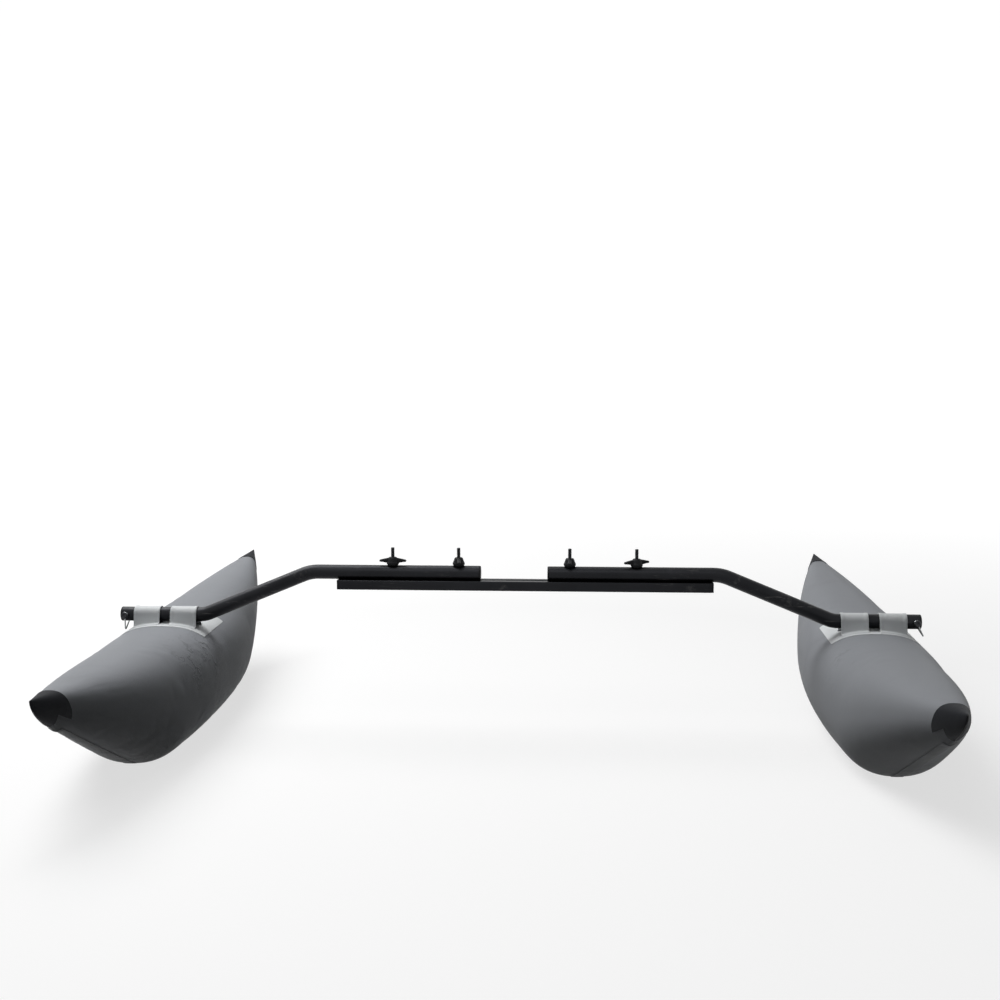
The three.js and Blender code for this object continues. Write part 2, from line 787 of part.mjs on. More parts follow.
// One side of the outrigger, drawn for the right
function sideOf(side) {
  const group = new THREE.Group();
  group.position.set(0, armY, armZ);
  group.add(named(side + "_arm_tube", armTube(), blackAlloy));
  group.add(named(side + "_arm_inner_plug", innerPlug(), blackPlastic));
  group.add(named(side + "_arm_outer_plug", outerPlug(), blackPlastic));
  for (const [place, x] of [["inner", innerStudX], ["outer", outerStudX]]) {
    const stack = new THREE.Group();
    stack.position.set(x, 0, 0);
    stack.add(named(side + "_" + place + "_t_bolt", tBolt(), darkSteel));
    stack.add(named(side + "_" + place + "_washer", clampWasher(), blackPlastic));
    const knob = named(side + "_" + place + "_wing_knob", wingKnob(), blackPlastic);
    knob.position.z = knobZ;
    knob.rotation.z = THREE.MathUtils.degToRad(knobTurns[side + "_" + place]);
    stack.add(knob);
    group.add(stack);
  }

  const tubeEnd = new THREE.Group();
  tubeEnd.position.set(pinX, 0, -armDrop);
  tubeEnd.add(named(side + "_lock_pin", lockPin(), darkSteel));
  const bail = named(side + "_pin_bail", wireBail(), steel);
  bail.rotation.y = -THREE.MathUtils.degToRad(bailLeans[side]);
  tubeEnd.add(bail);
  group.add(tubeEnd);

  const float = new THREE.Group();
  float.position.set(floatCentreX, 0, -armDrop);
  float.add(named(side + "_float_skin", floatSkin(), greyFabric));
  float.add(named(side + "_aft_tip_patch", tipPatch(-1), blackFabric));
  float.add(named(side + "_fore_tip_patch", tipPatch(1), blackFabric));
  float.add(named(side + "_aft_keel_tape", keelTape(-1), tapeFabric));
  float.add(named(side + "_fore_keel_tape", keelTape(1), tapeFabric));
  float.add(named(side + "_saddle_pad", saddlePad(), lightFabric));
  float.add(named(side + "_inner_sleeve", sleeve(-sleevePitch / 2), lightFabric));
  float.add(named(side + "_outer_sleeve", sleeve(sleevePitch / 2), lightFabric));
  float.add(named(side + "_valve_body", valveBody(), blackPlastic));
  float.add(named(side + "_valve_cap", valveCap(), blackPlastic));
  group.add(float);
  return group;
}

const outrigger = new THREE.Group();
const rail = new THREE.Group();
rail.position.set(0, armY, railZ);
rail.add(named("cross_rail", crossRail(), blackAlloy));
const rightCap = named("rail_end_cap_right", railEndCap(), blackPlastic);
rightCap.position.x = railRightX;
const leftCap = named("rail_end_cap_left", railEndCap().rotateZ(Math.PI), blackPlastic);
leftCap.position.x = railLeftX;
rail.add(rightCap, leftCap);

const leftSide = sideOf("left");
leftSide.scale.x = -1;
outrigger.add(rail, sideOf("right"), leftSide);

export default outrigger;
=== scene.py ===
"""Kayak outrigger dressed for a studio picture.

A slotted cross rail carries two cranked tube arms, held by T bolts and wing knobs.
Each arm holds an inflated float in two fabric sleeves welded to a saddle pad.
Lengths are metres. +X is the right side, +Y points forward and +Z is up.
"""

import json
import math

import bmesh
import bpy
import numpy as np
from bpy.props import FloatProperty, FloatVectorProperty, IntProperty, PointerProperty
from mathutils import Matrix, Vector, noise
from mathutils.bvhtree import BVHTree

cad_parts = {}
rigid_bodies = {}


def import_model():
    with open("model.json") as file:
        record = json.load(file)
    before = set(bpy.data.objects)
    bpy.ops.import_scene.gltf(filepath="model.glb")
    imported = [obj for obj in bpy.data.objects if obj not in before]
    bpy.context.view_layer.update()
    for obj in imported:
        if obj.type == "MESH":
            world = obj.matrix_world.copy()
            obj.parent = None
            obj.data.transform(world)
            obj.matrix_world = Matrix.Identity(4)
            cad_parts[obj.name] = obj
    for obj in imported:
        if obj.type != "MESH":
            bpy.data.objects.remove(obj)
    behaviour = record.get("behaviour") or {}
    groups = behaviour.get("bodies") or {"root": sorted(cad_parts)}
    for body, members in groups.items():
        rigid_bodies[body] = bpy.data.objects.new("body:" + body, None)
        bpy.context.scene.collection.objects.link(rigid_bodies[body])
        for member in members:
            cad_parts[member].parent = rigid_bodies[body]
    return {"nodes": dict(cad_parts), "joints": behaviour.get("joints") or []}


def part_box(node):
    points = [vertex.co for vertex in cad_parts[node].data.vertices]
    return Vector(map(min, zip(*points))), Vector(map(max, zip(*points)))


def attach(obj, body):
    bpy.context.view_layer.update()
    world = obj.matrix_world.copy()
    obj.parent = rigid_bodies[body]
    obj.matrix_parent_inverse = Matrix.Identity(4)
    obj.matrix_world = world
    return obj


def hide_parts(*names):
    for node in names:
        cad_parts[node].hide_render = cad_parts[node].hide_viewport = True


bl_info = {
    "name": "Kayak Outrigger",
    "version": (1, 0, 0),
    "blender": (4, 5, 0),
    "location": "3D View > Sidebar > Outrigger",
    "description": "Builds the detailed pieces of a kayak outrigger on its packed frame",
    "category": "Object",
}

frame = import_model()

SIDES = ("right", "left")
JOINTS = {joint["name"]: joint for joint in frame["joints"]}
WHITE = (1.0, 1.0, 1.0, 1.0)
# Left between a hole and what goes through it
CLEARANCE = 0.0003
# How far off a surface the rays start that look for it, outside the float and beside it
PROBE = 0.5
NEAR_PROBE = 0.05
CLOTH_MAP = "Cloth"
# Mask of the painted highlight along the tip patches' seam edge
SEAM_HIGHLIGHT_MASK = "Seam highlight"
# Mask of the floats' crumpled area: fine crease bumps, and painted shade along those creases
CRUMPLE_MASK = "Crumple"


def pivot(joint):
    """Where a joint turns, in the row frame."""
    return Vector(JOINTS[joint]["pos_m"])


def length(name, description, default):
    return FloatProperty(
        name=name, description=description, default=default, unit="LENGTH", precision=4
    )


def share(name, description, default):
    return FloatProperty(name=name, description=description, default=default, precision=3)


def angle(name, description, degrees):
    return FloatProperty(
        name=name, description=description, default=math.radians(degrees), unit="ROTATION"
    )


def power(name, description, default):
    return FloatProperty(name=name, description=description, default=default, unit="POWER")


def colour(name, description, default):
    return FloatVectorProperty(
        name=name, description=description, default=default, size=3, min=0, max=1, subtype="COLOR"
    )


class FloatSizes(bpy.types.PropertyGroup):
    """Sizes of the inflated float."""

    aft_length: length("Aft length", "From the arm back to the aft tip", 0.78)
    fore_length: length("Fore length", "From the arm forward to the fore tip", 0.82)
    width: length("Width", "Greatest width, at the arm", 0.266)
    depth: length("Depth", "From the crown to the flat belly", 0.247)
    tip_rise: length("Tip rise", "Height of the tips over the crown", 0.032)
    taper: length("Taper", "Length over which the keel rises to a tip", 0.512)
    stem_length: length("Stem length", "Length of the curved stem at a tip", 0.094)
    stem_depth: length("Stem depth", "Depth at the foot of the stem", 0.069)
    tube_to_crown: length("Tube to crown", "From the arm's axis down to the crown", 0.0197)
    stem_curve: share("Stem curve", "Power of the stem's curve", 0.62)
    rise_power: share("Rise power", "Power of the crown's rise to the tips", 1.4)
    plan_power: share("Plan power", "Power of the outline seen from above", 2.0)
    crown_power: share("Crown power", "Power of the section's upper half", 2.6)
    belly_power: share("Belly power", "Power of the lower half at mid length", 2.25)
    tip_belly_power: share("Tip belly power", "Power of the lower half at the tips", 1.7)
    tip_waist: share("Tip waist", "Share of the depth above the widest line at the tips", 0.43)
    waist: share("Waist", "Share of the depth above the widest line at mid length", 0.5)
    keel_rounding: share("Keel rounding", "Softness of the keel's corner", 0.05)
    pucker: length("Pucker", "Height of the puckers beside the keel seam", 0.0007)
    crease: length("Crease", "Depth of the creases behind the tips", 0.0012)
    unevenness: length("Unevenness", "Broad swell of the skin", 0.0008)
    rounding: share("Rounding", "Share of the simulated swelling that the form keeps", 0.25)
    heel: length("Heel", "Bulge of the keel at the foot of a stem", 0.004)
    left_slack: share("Left slack", "Share of the wrinkles that the left float shows", 0.4)
    right_slack: share("Right slack", "Share of the wrinkles that the right float shows", 0.15)


class FabricSizes(bpy.types.PropertyGroup):
    """Sizes of the pieces of fabric on a float."""

    weld_gap: length("Weld gap", "Space left under a welded sheet", 0.0003)
    patch_thickness: length("Patch thickness", "Thickness of a tip patch", 0.001)
    patch_top: length("Patch top", "Reach of a tip patch along the crown", 0.088)
    patch_point: length("Patch point", "Reach of the swallow tail's upper point", 0.11)
    patch_notch: length("Patch notch", "Reach of the notch between the points", 0.07)
    patch_lobe: length("Patch lobe", "Reach of the swallow tail's lower point", 0.084)
    patch_side: share("Patch side", "Height share of the upper point", 0.74)
    patch_apex: share("Patch apex", "Height share of the notch", 0.48)
    stem_seam: length("Stem seam", "Height of the seam's cut edge under a tip patch", 0.0008)
    tape_thickness: length("Tape thickness", "Thickness of the keel tape", 0.0009)
    tape_width: length("Tape width", "Width of the keel tape", 0.024)
    tape_start: length("Tape start", "Distance of the tape's end from the tip", 0.104)
    tape_end: length("Tape end", "Distance of the tape's other end from the tip", 0.5)
    pad_thickness: length("Pad thickness", "Thickness of the saddle pad", 0.0012)
    pad_aft: length("Pad aft reach", "Reach of the pad from the arm toward the aft tip", 0.044)
    pad_fore: length("Pad fore reach", "Reach of the pad from the arm toward the fore tip", 0.12)
    pad_width: length("Pad width", "Width of the pad across the float", 0.19)
    pad_corner: length("Pad corner", "Rounding of the pad's corners", 0.005)
    weld_band: length("Weld band", "Width of the pressed weld round the pad", 0.007)
    sleeve_width: length("Sleeve width", "Width of a sleeve along the tube", 0.059)
    sleeve_pitch: length("Sleeve pitch", "Distance between the sleeves' middles", 0.083)
    sleeve_thickness: length("Sleeve thickness", "Thickness of a sleeve", 0.0016)
    sleeve_slack: length("Sleeve slack", "Space between tube and sleeve", 0.0004)
    foot_spread: length("Foot spread", "From the tube's middle to a foot's fold", 0.02)
    foot_length: length("Foot length", "Length of a welded foot", 0.014)
    hem_width: length("Hem width", "Width of the hem at a sleeve's edges", 0.0075)
    hem_height: length("Hem height", "Height of the hem over the sleeve", 0.0006)


class ArmSizes(bpy.types.PropertyGroup):
    """Sizes of an arm."""

    tube_diameter: length("Tube diameter", "Outside diameter", 0.032)
    tube_wall: length("Tube wall", "Wall thickness", 0.0025)
    drop: length("Drop", "From the inner straight down to the outer one", 0.1)
    slope_run: length("Slope run", "Distance between the two bends", 0.243)
    inner_radius: length("Inner bend", "Radius of the inner bend", 0.09)
    outer_radius: length("Outer bend", "Radius of the outer bend", 0.057)
    float_to_bend: length("Float to bend", "From the float's middle in to the outer bend", 0.087)
    lip: length("Edge rounding", "Rounding of the tube's cut edges", 0.0005)
    flange: length("Plug flange", "Thickness of a plug's flange", 0.0025)
    plug_length: length("Plug length", "Length of a plug inside the tube", 0.016)


class HardwareSizes(bpy.types.PropertyGroup):
    """Sizes of the bolts, knobs, pins and valves."""

    stud_diameter: length("Stud diameter", "Thread diameter of the T bolts", 0.008)
    thread_pitch: length("Thread pitch", "Distance between the thread's turns", 0.00125)
    thread_depth: length("Thread depth", "Depth of the thread", 0.0007)
    knob_span: length("Knob span", "Width over a knob's wings", 0.06)
    knob_height: length("Knob height", "Height of a knob", 0.0165)
    neck_diameter: length("Knob neck", "Diameter of a knob's foot", 0.027)
    wing_thickness: length("Wing thickness", "Thickness of a wing at its root", 0.0085)
    knob_rounding: length("Knob rounding", "Grain of the moulded rounding", 0.0006)
    pin_diameter: length("Pin diameter", "Diameter of the lock pin", 0.008)
    bail_wire: length("Bail wire", "Diameter of the bail's wire", 0.003)
    bail_reach: length("Bail reach", "From the pin to the bail's far corner", 0.036)
    bail_short_reach: length("Bail short reach", "Depth of the bail on the tip's side", 0.017)
    bail_corner: length("Bail corner", "Cut of the bend at the far corner", 0.009)
    bail_shoulder: length("Bail shoulder", "Cut of the bend on the tip's side", 0.005)
    bail_lean: angle("Bail lean", "Outward lean of the right bail", 27)
    valve_flange: length("Valve flange", "Diameter of the valve's welded disc", 0.046)
    valve_cap: length("Valve cap", "Diameter of the valve's cap", 0.032)
    valve_height: length("Valve height", "From the skin up to the cap's top", 0.0105)
    turned_sides: IntProperty(
        name="Turned sides", description="Facets of a turned piece", default=48
    )


class Finishes(bpy.types.PropertyGroup):
    """Colours of the materials."""

    alloy: colour("Black alloy", "Anodised rail and arms", (0.016, 0.0165, 0.0185))
    plastic: colour("Black plastic", "Knobs, plugs, caps and valves", (0.012, 0.0125, 0.014))
    steel: colour("Stainless steel", "Bails", (0.42, 0.43, 0.44))
    dark_steel: colour("Dark steel", "Bolts and lock pins", (0.035, 0.036, 0.039))
    grey: colour("Grey fabric", "Skin of the floats", (0.262, 0.272, 0.29))
    light: colour("Light fabric", "Pads and sleeves", (0.66, 0.68, 0.69))
    black: colour("Black fabric", "Tip patches", (0.017, 0.018, 0.021))
    tape: colour("Seam tape", "Tape over the keel seam", (0.175, 0.181, 0.192))
    # The pale colour below is also used for the painted highlight along the tip patches' seam
    # edges
    dust_and_highlight: colour("Dust", "Pale dust and scuffs", (0.42, 0.41, 0.39))


class StudioSettings(bpy.types.PropertyGroup):
    """Camera, lamps and backdrop."""

    camera_place: FloatVectorProperty(
        name="Camera place", description="Where the camera stands", size=3, unit="LENGTH",
        default=(0.1674, -3.0655, 0.9175),
    )
    camera_yaw: angle("Camera yaw", "Turn to the right of forward", -3.7237)
    camera_pitch: angle("Camera pitch", "Tilt below the horizon", 7.2607)
    camera_roll: angle("Camera roll", "Roll of the camera", -0.18)
    lens: FloatProperty(name="Lens", description="Focal length on a 36 mm sensor", default=50.34)
    floor: colour("Floor", "Colour of the floor and backdrop", (0.93, 0.93, 0.93))
    overhead: power("Overhead", "Power of the lamp above", 136)
    front_fill: power("Front fill", "Power of the front lamp", 24)
    right_fill: power("Right fill", "Power of the right lamp", 0.5)


GROUPS = {
    "outrigger_float": FloatSizes,
    "outrigger_fabric": FabricSizes,
    "outrigger_arm": ArmSizes,
    "outrigger_hardware": HardwareSizes,
    "outrigger_finish": Finishes,
    "outrigger_studio": StudioSettings,
}


# Meshes


def new_piece(name, points, faces):
    """A mesh object from points and faces, its faces turned outward."""
    mesh = bpy.data.meshes.new(name)
    mesh.from_pydata([tuple(point) for point in points], [], faces)
    piece = bpy.data.objects.new(name, mesh)
    bpy.context.scene.collection.objects.link(piece)
    face_outward(mesh)
    return piece


def face_outward(mesh):
    work = bmesh.new()
    work.from_mesh(mesh)
    bmesh.ops.recalc_face_normals(work, faces=work.faces[:])
    work.to_mesh(mesh)
    work.free()


def grid_faces(rows, columns, closed, first=0):
    """Quads between neighbouring rows of points."""
    faces = []
    for i in range(rows - 1):
        for j in range(columns if closed else columns - 1):
            here, beside = first + i * columns + j, first + i * columns + (j + 1) % columns
            faces.append((here, beside, beside + columns, here + columns))
    return faces


def turned(name, profile, sides, grooves=None):
    """A piece turned about Z from (radius, height) pairs; a profile that ends at its start is
    a ring. grooves gives how deep the piece is cut at a place of the profile and a turn.
    """
    ring = profile[0] == profile[-1]
    pairs = profile[:-1] if ring else profile
    points, rows = [], []
    for place, (radius, height) in enumerate(pairs):
        if radius == 0:
            rows.append([len(points)])
            points.append((0, 0, height))
            continue
        rows.append(list(range(len(points), len(points) + sides)))
        for k in range(sides):
            turn = 2 * math.pi * k / sides
            reach = radius - grooves(place, turn) if grooves else radius
            points.append((reach * math.cos(turn), reach * math.sin(turn), height))
    faces = []
    for lower, upper in zip(rows, rows[1:] + ([rows[0]] if ring else [])):
        for k in range(sides):
            n = (k + 1) % sides
            corners = [lower[k % len(lower)], lower[n % len(lower)]]
            corners += [upper[n % len(upper)], upper[k % len(upper)]]
            corners = list(dict.fromkeys(corners))
            if len(corners) > 2:
                faces.append(tuple(corners))
    return new_piece(name, points, faces)


def ring_walls(rings, sides, closed=False):
    """Faces over rings of points, joined back to the first ring or closed by two end faces."""
    faces = grid_faces(rings, sides, True)
    last = (rings - 1) * sides
    if not closed:
        return faces + [tuple(range(sides)), tuple(range(last, last + sides))]
    for k in range(sides):
        n = (k + 1) % sides
        faces.append((last + k, last + n, n, k))
    return faces


def rings_along(path, radius, sides):
    """Rings of points square to a path, carried along it without twist."""
    line = [Vector(point) for point in path]
    tangents = []
    for i in range(len(line)):
        tangents.append((line[min(i + 1, len(line) - 1)] - line[max(i - 1, 0)]).normalized())
    side = tangents[0].orthogonal().normalized()
    rings = []
    for point, tangent in zip(line, tangents):
        side = (side - tangent * side.dot(tangent)).normalized()
        up = tangent.cross(side)
        ring = []
        for k in range(sides):
            turn = 2 * math.pi * k / sides
            ring.append(point + side * (radius * math.cos(turn)) + up * (radius * math.sin(turn)))
        rings.append(ring)
    return rings


def swept(name, path, radius, sides):
    """A round rod along a path, closed at both ends."""
    rings = rings_along(path, radius, sides)
    points = [point for ring in rings for point in ring]
    return new_piece(name, points, ring_walls(len(rings), sides))


def settle(piece):
    """Applies a piece's modifiers to its mesh."""
    graph = bpy.context.evaluated_depsgraph_get()
    mesh = bpy.data.meshes.new_from_object(piece.evaluated_get(graph))
    piece.modifiers.clear()
    old, piece.data = piece.data, mesh
    bpy.data.meshes.remove(old)
    return piece


def rounded(piece, width, segments=2, sharper_than=30):
    """Rounds a piece's sharp edges."""
    bevel = piece.modifiers.new("Rounding", "BEVEL")
    bevel.width = width
    bevel.segments = segments
    bevel.limit_method = "ANGLE"
    bevel.angle_limit = math.radians(sharper_than)
    bevel.use_clamp_overlap = True
    return settle(piece)


def combined(piece, other, operation):
    """Joins another piece to this one or cuts it away, and removes the other."""
    join = piece.modifiers.new("Join", "BOOLEAN")
    join.object = other
    join.operation = operation
    join.solver = "EXACT"
    settle(piece)
    bpy.data.objects.remove(other)
    return piece


def shaded(piece, sharper_than=40):
    """Smooth shading that breaks at sharp edges."""
    piece.data.shade_smooth()
    piece.data.set_sharp_from_angle(angle=math.radians(sharper_than))
    return piece


def moved(piece, matrix):
    piece.data.transform(matrix)
    if matrix.determinant() < 0:
        piece.data.flip_normals()
    return piece


def copied(piece, name, matrix):
    """A copy of a piece under another name, moved by a matrix."""
    twin = bpy.data.objects.new(name, piece.data.copy())
    twin.data.name = name
    bpy.context.scene.collection.objects.link(twin)
    return moved(twin, matrix)


MIRROR = Matrix.Scale(-1, 4, (1, 0, 0))


def sided(side):
    """The matrix that brings a piece drawn for the right to a side."""
    return Matrix.Identity(4) if side == "right" else MIRROR


def box_cutter(low, high):
    (x0, y0, z0), (x1, y1, z1) = low, high
    points = [(x, y, z) for x in (x0, x1) for y in (y0, y1) for z in (z0, z1)]
    faces = [(0, 1, 3, 2), (4, 6, 7, 5), (0, 4, 5, 1), (2, 3, 7, 6), (0, 2, 6, 4), (1, 5, 7, 3)]
    return new_piece("cutter", points, faces)


def drilled(piece, centre, axis, diameter, reach=0.06):
    """Drills a round hole along an axis, as far as the reach on both sides of the centre."""
    radius = diameter / 2
    profile = [(0, -reach), (radius, -reach), (radius, reach), (0, reach)]
    cutter = turned("cutter", profile, 32)
    turn = Vector((0, 0, 1)).rotation_difference(Vector(axis)).to_matrix().to_4x4()
    moved(cutter, Matrix.Translation(centre) @ turn)
    return combined(piece, cutter, "DIFFERENCE")


def of_node(node, name, width, sharper_than=30):
    """A finer copy of a CAD node: flat faces merged and sharp edges rounded."""
    mesh = frame["nodes"][node].data.copy()
    mesh.name = name
    work = bmesh.new()
    work.from_mesh(mesh)
    bmesh.ops.remove_doubles(work, verts=work.verts[:], dist=1e-6)
    bmesh.ops.dissolve_limit(
        work, angle_limit=math.radians(1), verts=work.verts[:], edges=work.edges[:]
    )
    work.to_mesh(mesh)
    work.free()
    mesh.materials.clear()
    piece = bpy.data.objects.new(name, mesh)
    bpy.context.scene.collection.objects.link(piece)
    return shaded(rounded(piece, width, 2, sharper_than), 35)


def dress(piece, body, slot, material, *nodes):
    """Gives a piece its material and its body, and hides the CAD nodes that it stands for; the
    slot is not used.
    """
    piece.data.materials.clear()
    piece.data.materials.append(material)
    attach(piece, body)
    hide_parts(*nodes)
    return piece


# Cloth sheets laid on a surface


def cloth_map(mesh, places):
    """A UV map in metres from a place for each point."""
    layer = mesh.uv_layers.new(name=CLOTH_MAP)
    corners = np.empty(len(mesh.loops), dtype=np.int32)
    mesh.loops.foreach_get("vertex_index", corners)
    layer.data.foreach_set("uv", np.asarray(places, dtype=np.float32)[corners].ravel())


def between_grids(name, lower, upper, cut):
    """A sheet between two grids of points, walled round its rim; cut is the grid whose flat
    places map the cloth.
    """
    rows, columns = len(lower), len(lower[0])
    count = rows * columns
    points = [point for grid in (lower, upper) for row in grid for point in row]
    faces = grid_faces(rows, columns, False) + grid_faces(rows, columns, False, count)
    rim = [i * columns for i in range(rows)]
    rim += [(rows - 1) * columns + j for j in range(1, columns)]
    rim += [i * columns + columns - 1 for i in range(rows - 2, -1, -1)]
    rim += list(range(columns - 2, 0, -1))
    for a, b in zip(rim, rim[1:] + rim[:1]):
        faces.append((a, b, b + count, a + count))
    piece = new_piece(name, points, faces)
    places = grid_places(cut)
    cloth_map(piece.data, places + places)
    return piece


def slab(name, points, normals, gap, thickness):
    """A thin sheet on a grid of surface points, its rim pressed thinner; thickness is a
    function of the grid's shares.
    """
    rows, columns = len(points), len(points[0])
    lower, upper = [], []
    for i in range(rows):
        low_row, high_row = [], []
        for j in range(columns):
            point, normal = points[i][j], normals[i][j]
            on_rim = min(i, j, rows - 1 - i, columns - 1 - j) == 0
            full = thickness(i / (rows - 1), j / (columns - 1)) * (0.6 if on_rim else 1)
            low_row.append(point + normal * gap)
            high_row.append(point + normal * (gap + full))
        lower.append(low_row)
        upper.append(high_row)
    return shaded(between_grids(name, lower, upper, points), 50)


def grid_places(points):
    """Flat places in metres along the rows and columns of a grid."""
    rows, columns = len(points), len(points[0])
    across = [[0.0] * columns for _ in range(rows)]
    along = [[0.0] * columns for _ in range(rows)]
    for i in range(rows):
        for j in range(columns):
            if j:
                across[i][j] = across[i][j - 1] + (points[i][j] - points[i][j - 1]).length
            if i:
                along[i][j] = along[i - 1][j] + (points[i][j] - points[i - 1][j]).length
    middle = [row[columns // 2] for row in across]
    return [(across[i][j] - middle[i], along[i][j]) for i in range(rows) for j in range(columns)]


def cut_size(points):
    """Width and length of the flat sheet that a grid of points was laid from."""
    middle_row, middle = points[len(points) // 2], len(points[0]) // 2
    width = sum((b - a).length for a, b in zip(middle_row, middle_row[1:]))
    long = sum((b[middle] - a[middle]).length for a, b in zip(points, points[1:]))
    return width, long


def surface_of(piece):
    graph = bpy.context.evaluated_depsgraph_get()
    return BVHTree.FromObject(piece, graph)


def cast(surface, start, direction):
    """The point and outward normal where a ray meets a surface."""
    point, normal, _, _ = surface.ray_cast(Vector(start), Vector(direction).normalized())
    if point is None:
        raise RuntimeError("no surface lies under " + str(tuple(start)))
    if normal.dot(Vector(direction)) > 0:
        normal = -normal
    return point, normal


def cast_grid(surface, rows, columns, place, direction):
    """Points and normals where rays in one direction meet a surface; place gives each start."""
    points, normals = [], []
    for i in range(rows):
        met = [cast(surface, place(i, j), direction) for j in range(columns)]
        points.append([point for point, _ in met])
        normals.append([normal for _, normal in met])
    return points, normals


# Materials


class Recipe:
    """A material's or group's nodes and links, with short names for making them."""

    def __init__(self, tree):
        self.tree = tree

    def node(self, kind, inputs=(), **settings):
        node = self.tree.nodes.new(kind)
        for key, value in settings.items():
            setattr(node, key, value)
        for key, value in dict(inputs).items():
            if isinstance(value, bpy.types.NodeSocket):
                self.tree.links.new(value, node.inputs[key])
            else:
                node.inputs[key].default_value = value
        return node

    def math(self, operation, first, second=0.0, clamp=False):
        inputs = {0: first, 1: second}
        return self.node("ShaderNodeMath", inputs, operation=operation, use_clamp=clamp).outputs[0]

    def ranged(self, value, low, high, to_low, to_high):
        inputs = {0: value, 1: low, 2: high, 3: to_low, 4: to_high}
        return self.node("ShaderNodeMapRange", inputs, clamp=True).outputs[0]

    def noise(self, vector, scale, detail, **inputs):
        given = {"Vector": vector, "Scale": scale, "Detail": detail, **inputs}
        return self.node("ShaderNodeTexNoise", given).outputs

    def stretched(self, vector, scale):
        return self.node("ShaderNodeMapping", {"Vector": vector, "Scale": scale}).outputs[0]

    def mixed(self, factor, first, second):
        inputs = {"Factor": factor, 6: first, 7: second}
        return self.node("ShaderNodeMix", inputs, data_type="RGBA").outputs[2]

    def shown_white(self, plain, white, output):
        """Shows the white shader to camera, glossy and transmission rays and the plain one to
        all others.
        """
        path = self.node("ShaderNodeLightPath").outputs
        shown = self.math("MAXIMUM", path["Is Camera Ray"], path["Is Glossy Ray"])
        shown = self.math("MAXIMUM", shown, path["Is Transmission Ray"])
        inputs = {0: shown, 1: plain.outputs[0], 2: white.outputs[0]}
        mix = self.node("ShaderNodeMixShader", inputs)
        self.tree.links.new(mix.outputs[0], self.tree.nodes[output].inputs["Surface"])


def group_tree(name, inputs, outputs):
    """A new shader node group with its sockets; returns its recipe, its input sockets and
    its output sockets.
    """
    tree = bpy.data.node_groups.new(name, "ShaderNodeTree")
    for socket, kind, default in inputs:
        made = tree.interface.new_socket(socket, in_out="INPUT", socket_type=kind)
        if default is not None:
            made.default_value = default
    for socket in outputs:
        tree.interface.new_socket(socket, in_out="OUTPUT", socket_type="NodeSocketFloat")
    recipe = Recipe(tree)
    return recipe, recipe.node("NodeGroupInput").outputs, recipe.node("NodeGroupOutput").inputs


def build_weave():
    """Threads over and under each other, from a flat place in metres."""
    recipe, given, out = group_tree(
        "Woven Threads",
        [("Vector", "NodeSocketVector", None), ("Spacing", "NodeSocketFloat", 0.0014)],
        ["Height"],
    )
    split = recipe.node("ShaderNodeSeparateXYZ", {0: given["Vector"]})
    waves = []
    for axis in ("X", "Y"):
        turns = recipe.math("DIVIDE", split.outputs[axis], given["Spacing"])
        waves.append(recipe.math("SINE", recipe.math("MULTIPLY", turns, 2 * math.pi)))
    product = recipe.math("MULTIPLY", waves[0], waves[1])
    height = recipe.math("MULTIPLY_ADD", product, 0.5)
    height.node.inputs[2].default_value = 0.5
    recipe.tree.links.new(height, out["Height"])


def build_grain():
    """Fine moulded or coated grain."""
    recipe, given, out = group_tree(
        "Fine Grain",
        [("Vector", "NodeSocketVector", None), ("Scale", "NodeSocketFloat", 900.0)],
        ["Height", "Patches"],
    )
    fine = recipe.noise(given["Vector"], given["Scale"], 3.0)
    recipe.tree.links.new(fine[0], out["Height"])
    broad_scale = recipe.math("MULTIPLY", given["Scale"], 0.012)
    broad = recipe.noise(given["Vector"], broad_scale, 5.0, Roughness=0.6)
    patches = recipe.ranged(broad[0], 0.32, 0.68, 0.0, 1.0)
    recipe.tree.links.new(patches, out["Patches"])


def build_wear():
    """Scratches and rubbed spots, as one mask."""
    recipe, given, out = group_tree(
        "Wear",
        [
            ("Vector", "NodeSocketVector", None),
            ("Scale", "NodeSocketFloat", 18.0),
            ("Amount", "NodeSocketFloat", 0.5),
        ],
        ["Mask"],
    )
    stretch = recipe.stretched(given["Vector"], (0.6, 9.0, 9.0))
    lines = recipe.noise(stretch, given["Scale"], 6.0, Roughness=0.7, Distortion=0.4)
    spots = recipe.noise(given["Vector"], given["Scale"], 8.0, Roughness=0.75)
    line_mask = recipe.ranged(lines[0], 0.62, 0.7, 0.0, 1.0)
    spot_mask = recipe.ranged(spots[0], 0.6, 0.74, 0.0, 1.0)
    both = recipe.math("MAXIMUM", line_mask, spot_mask)
    recipe.tree.links.new(recipe.math("MULTIPLY", both, given["Amount"], True), out["Mask"])


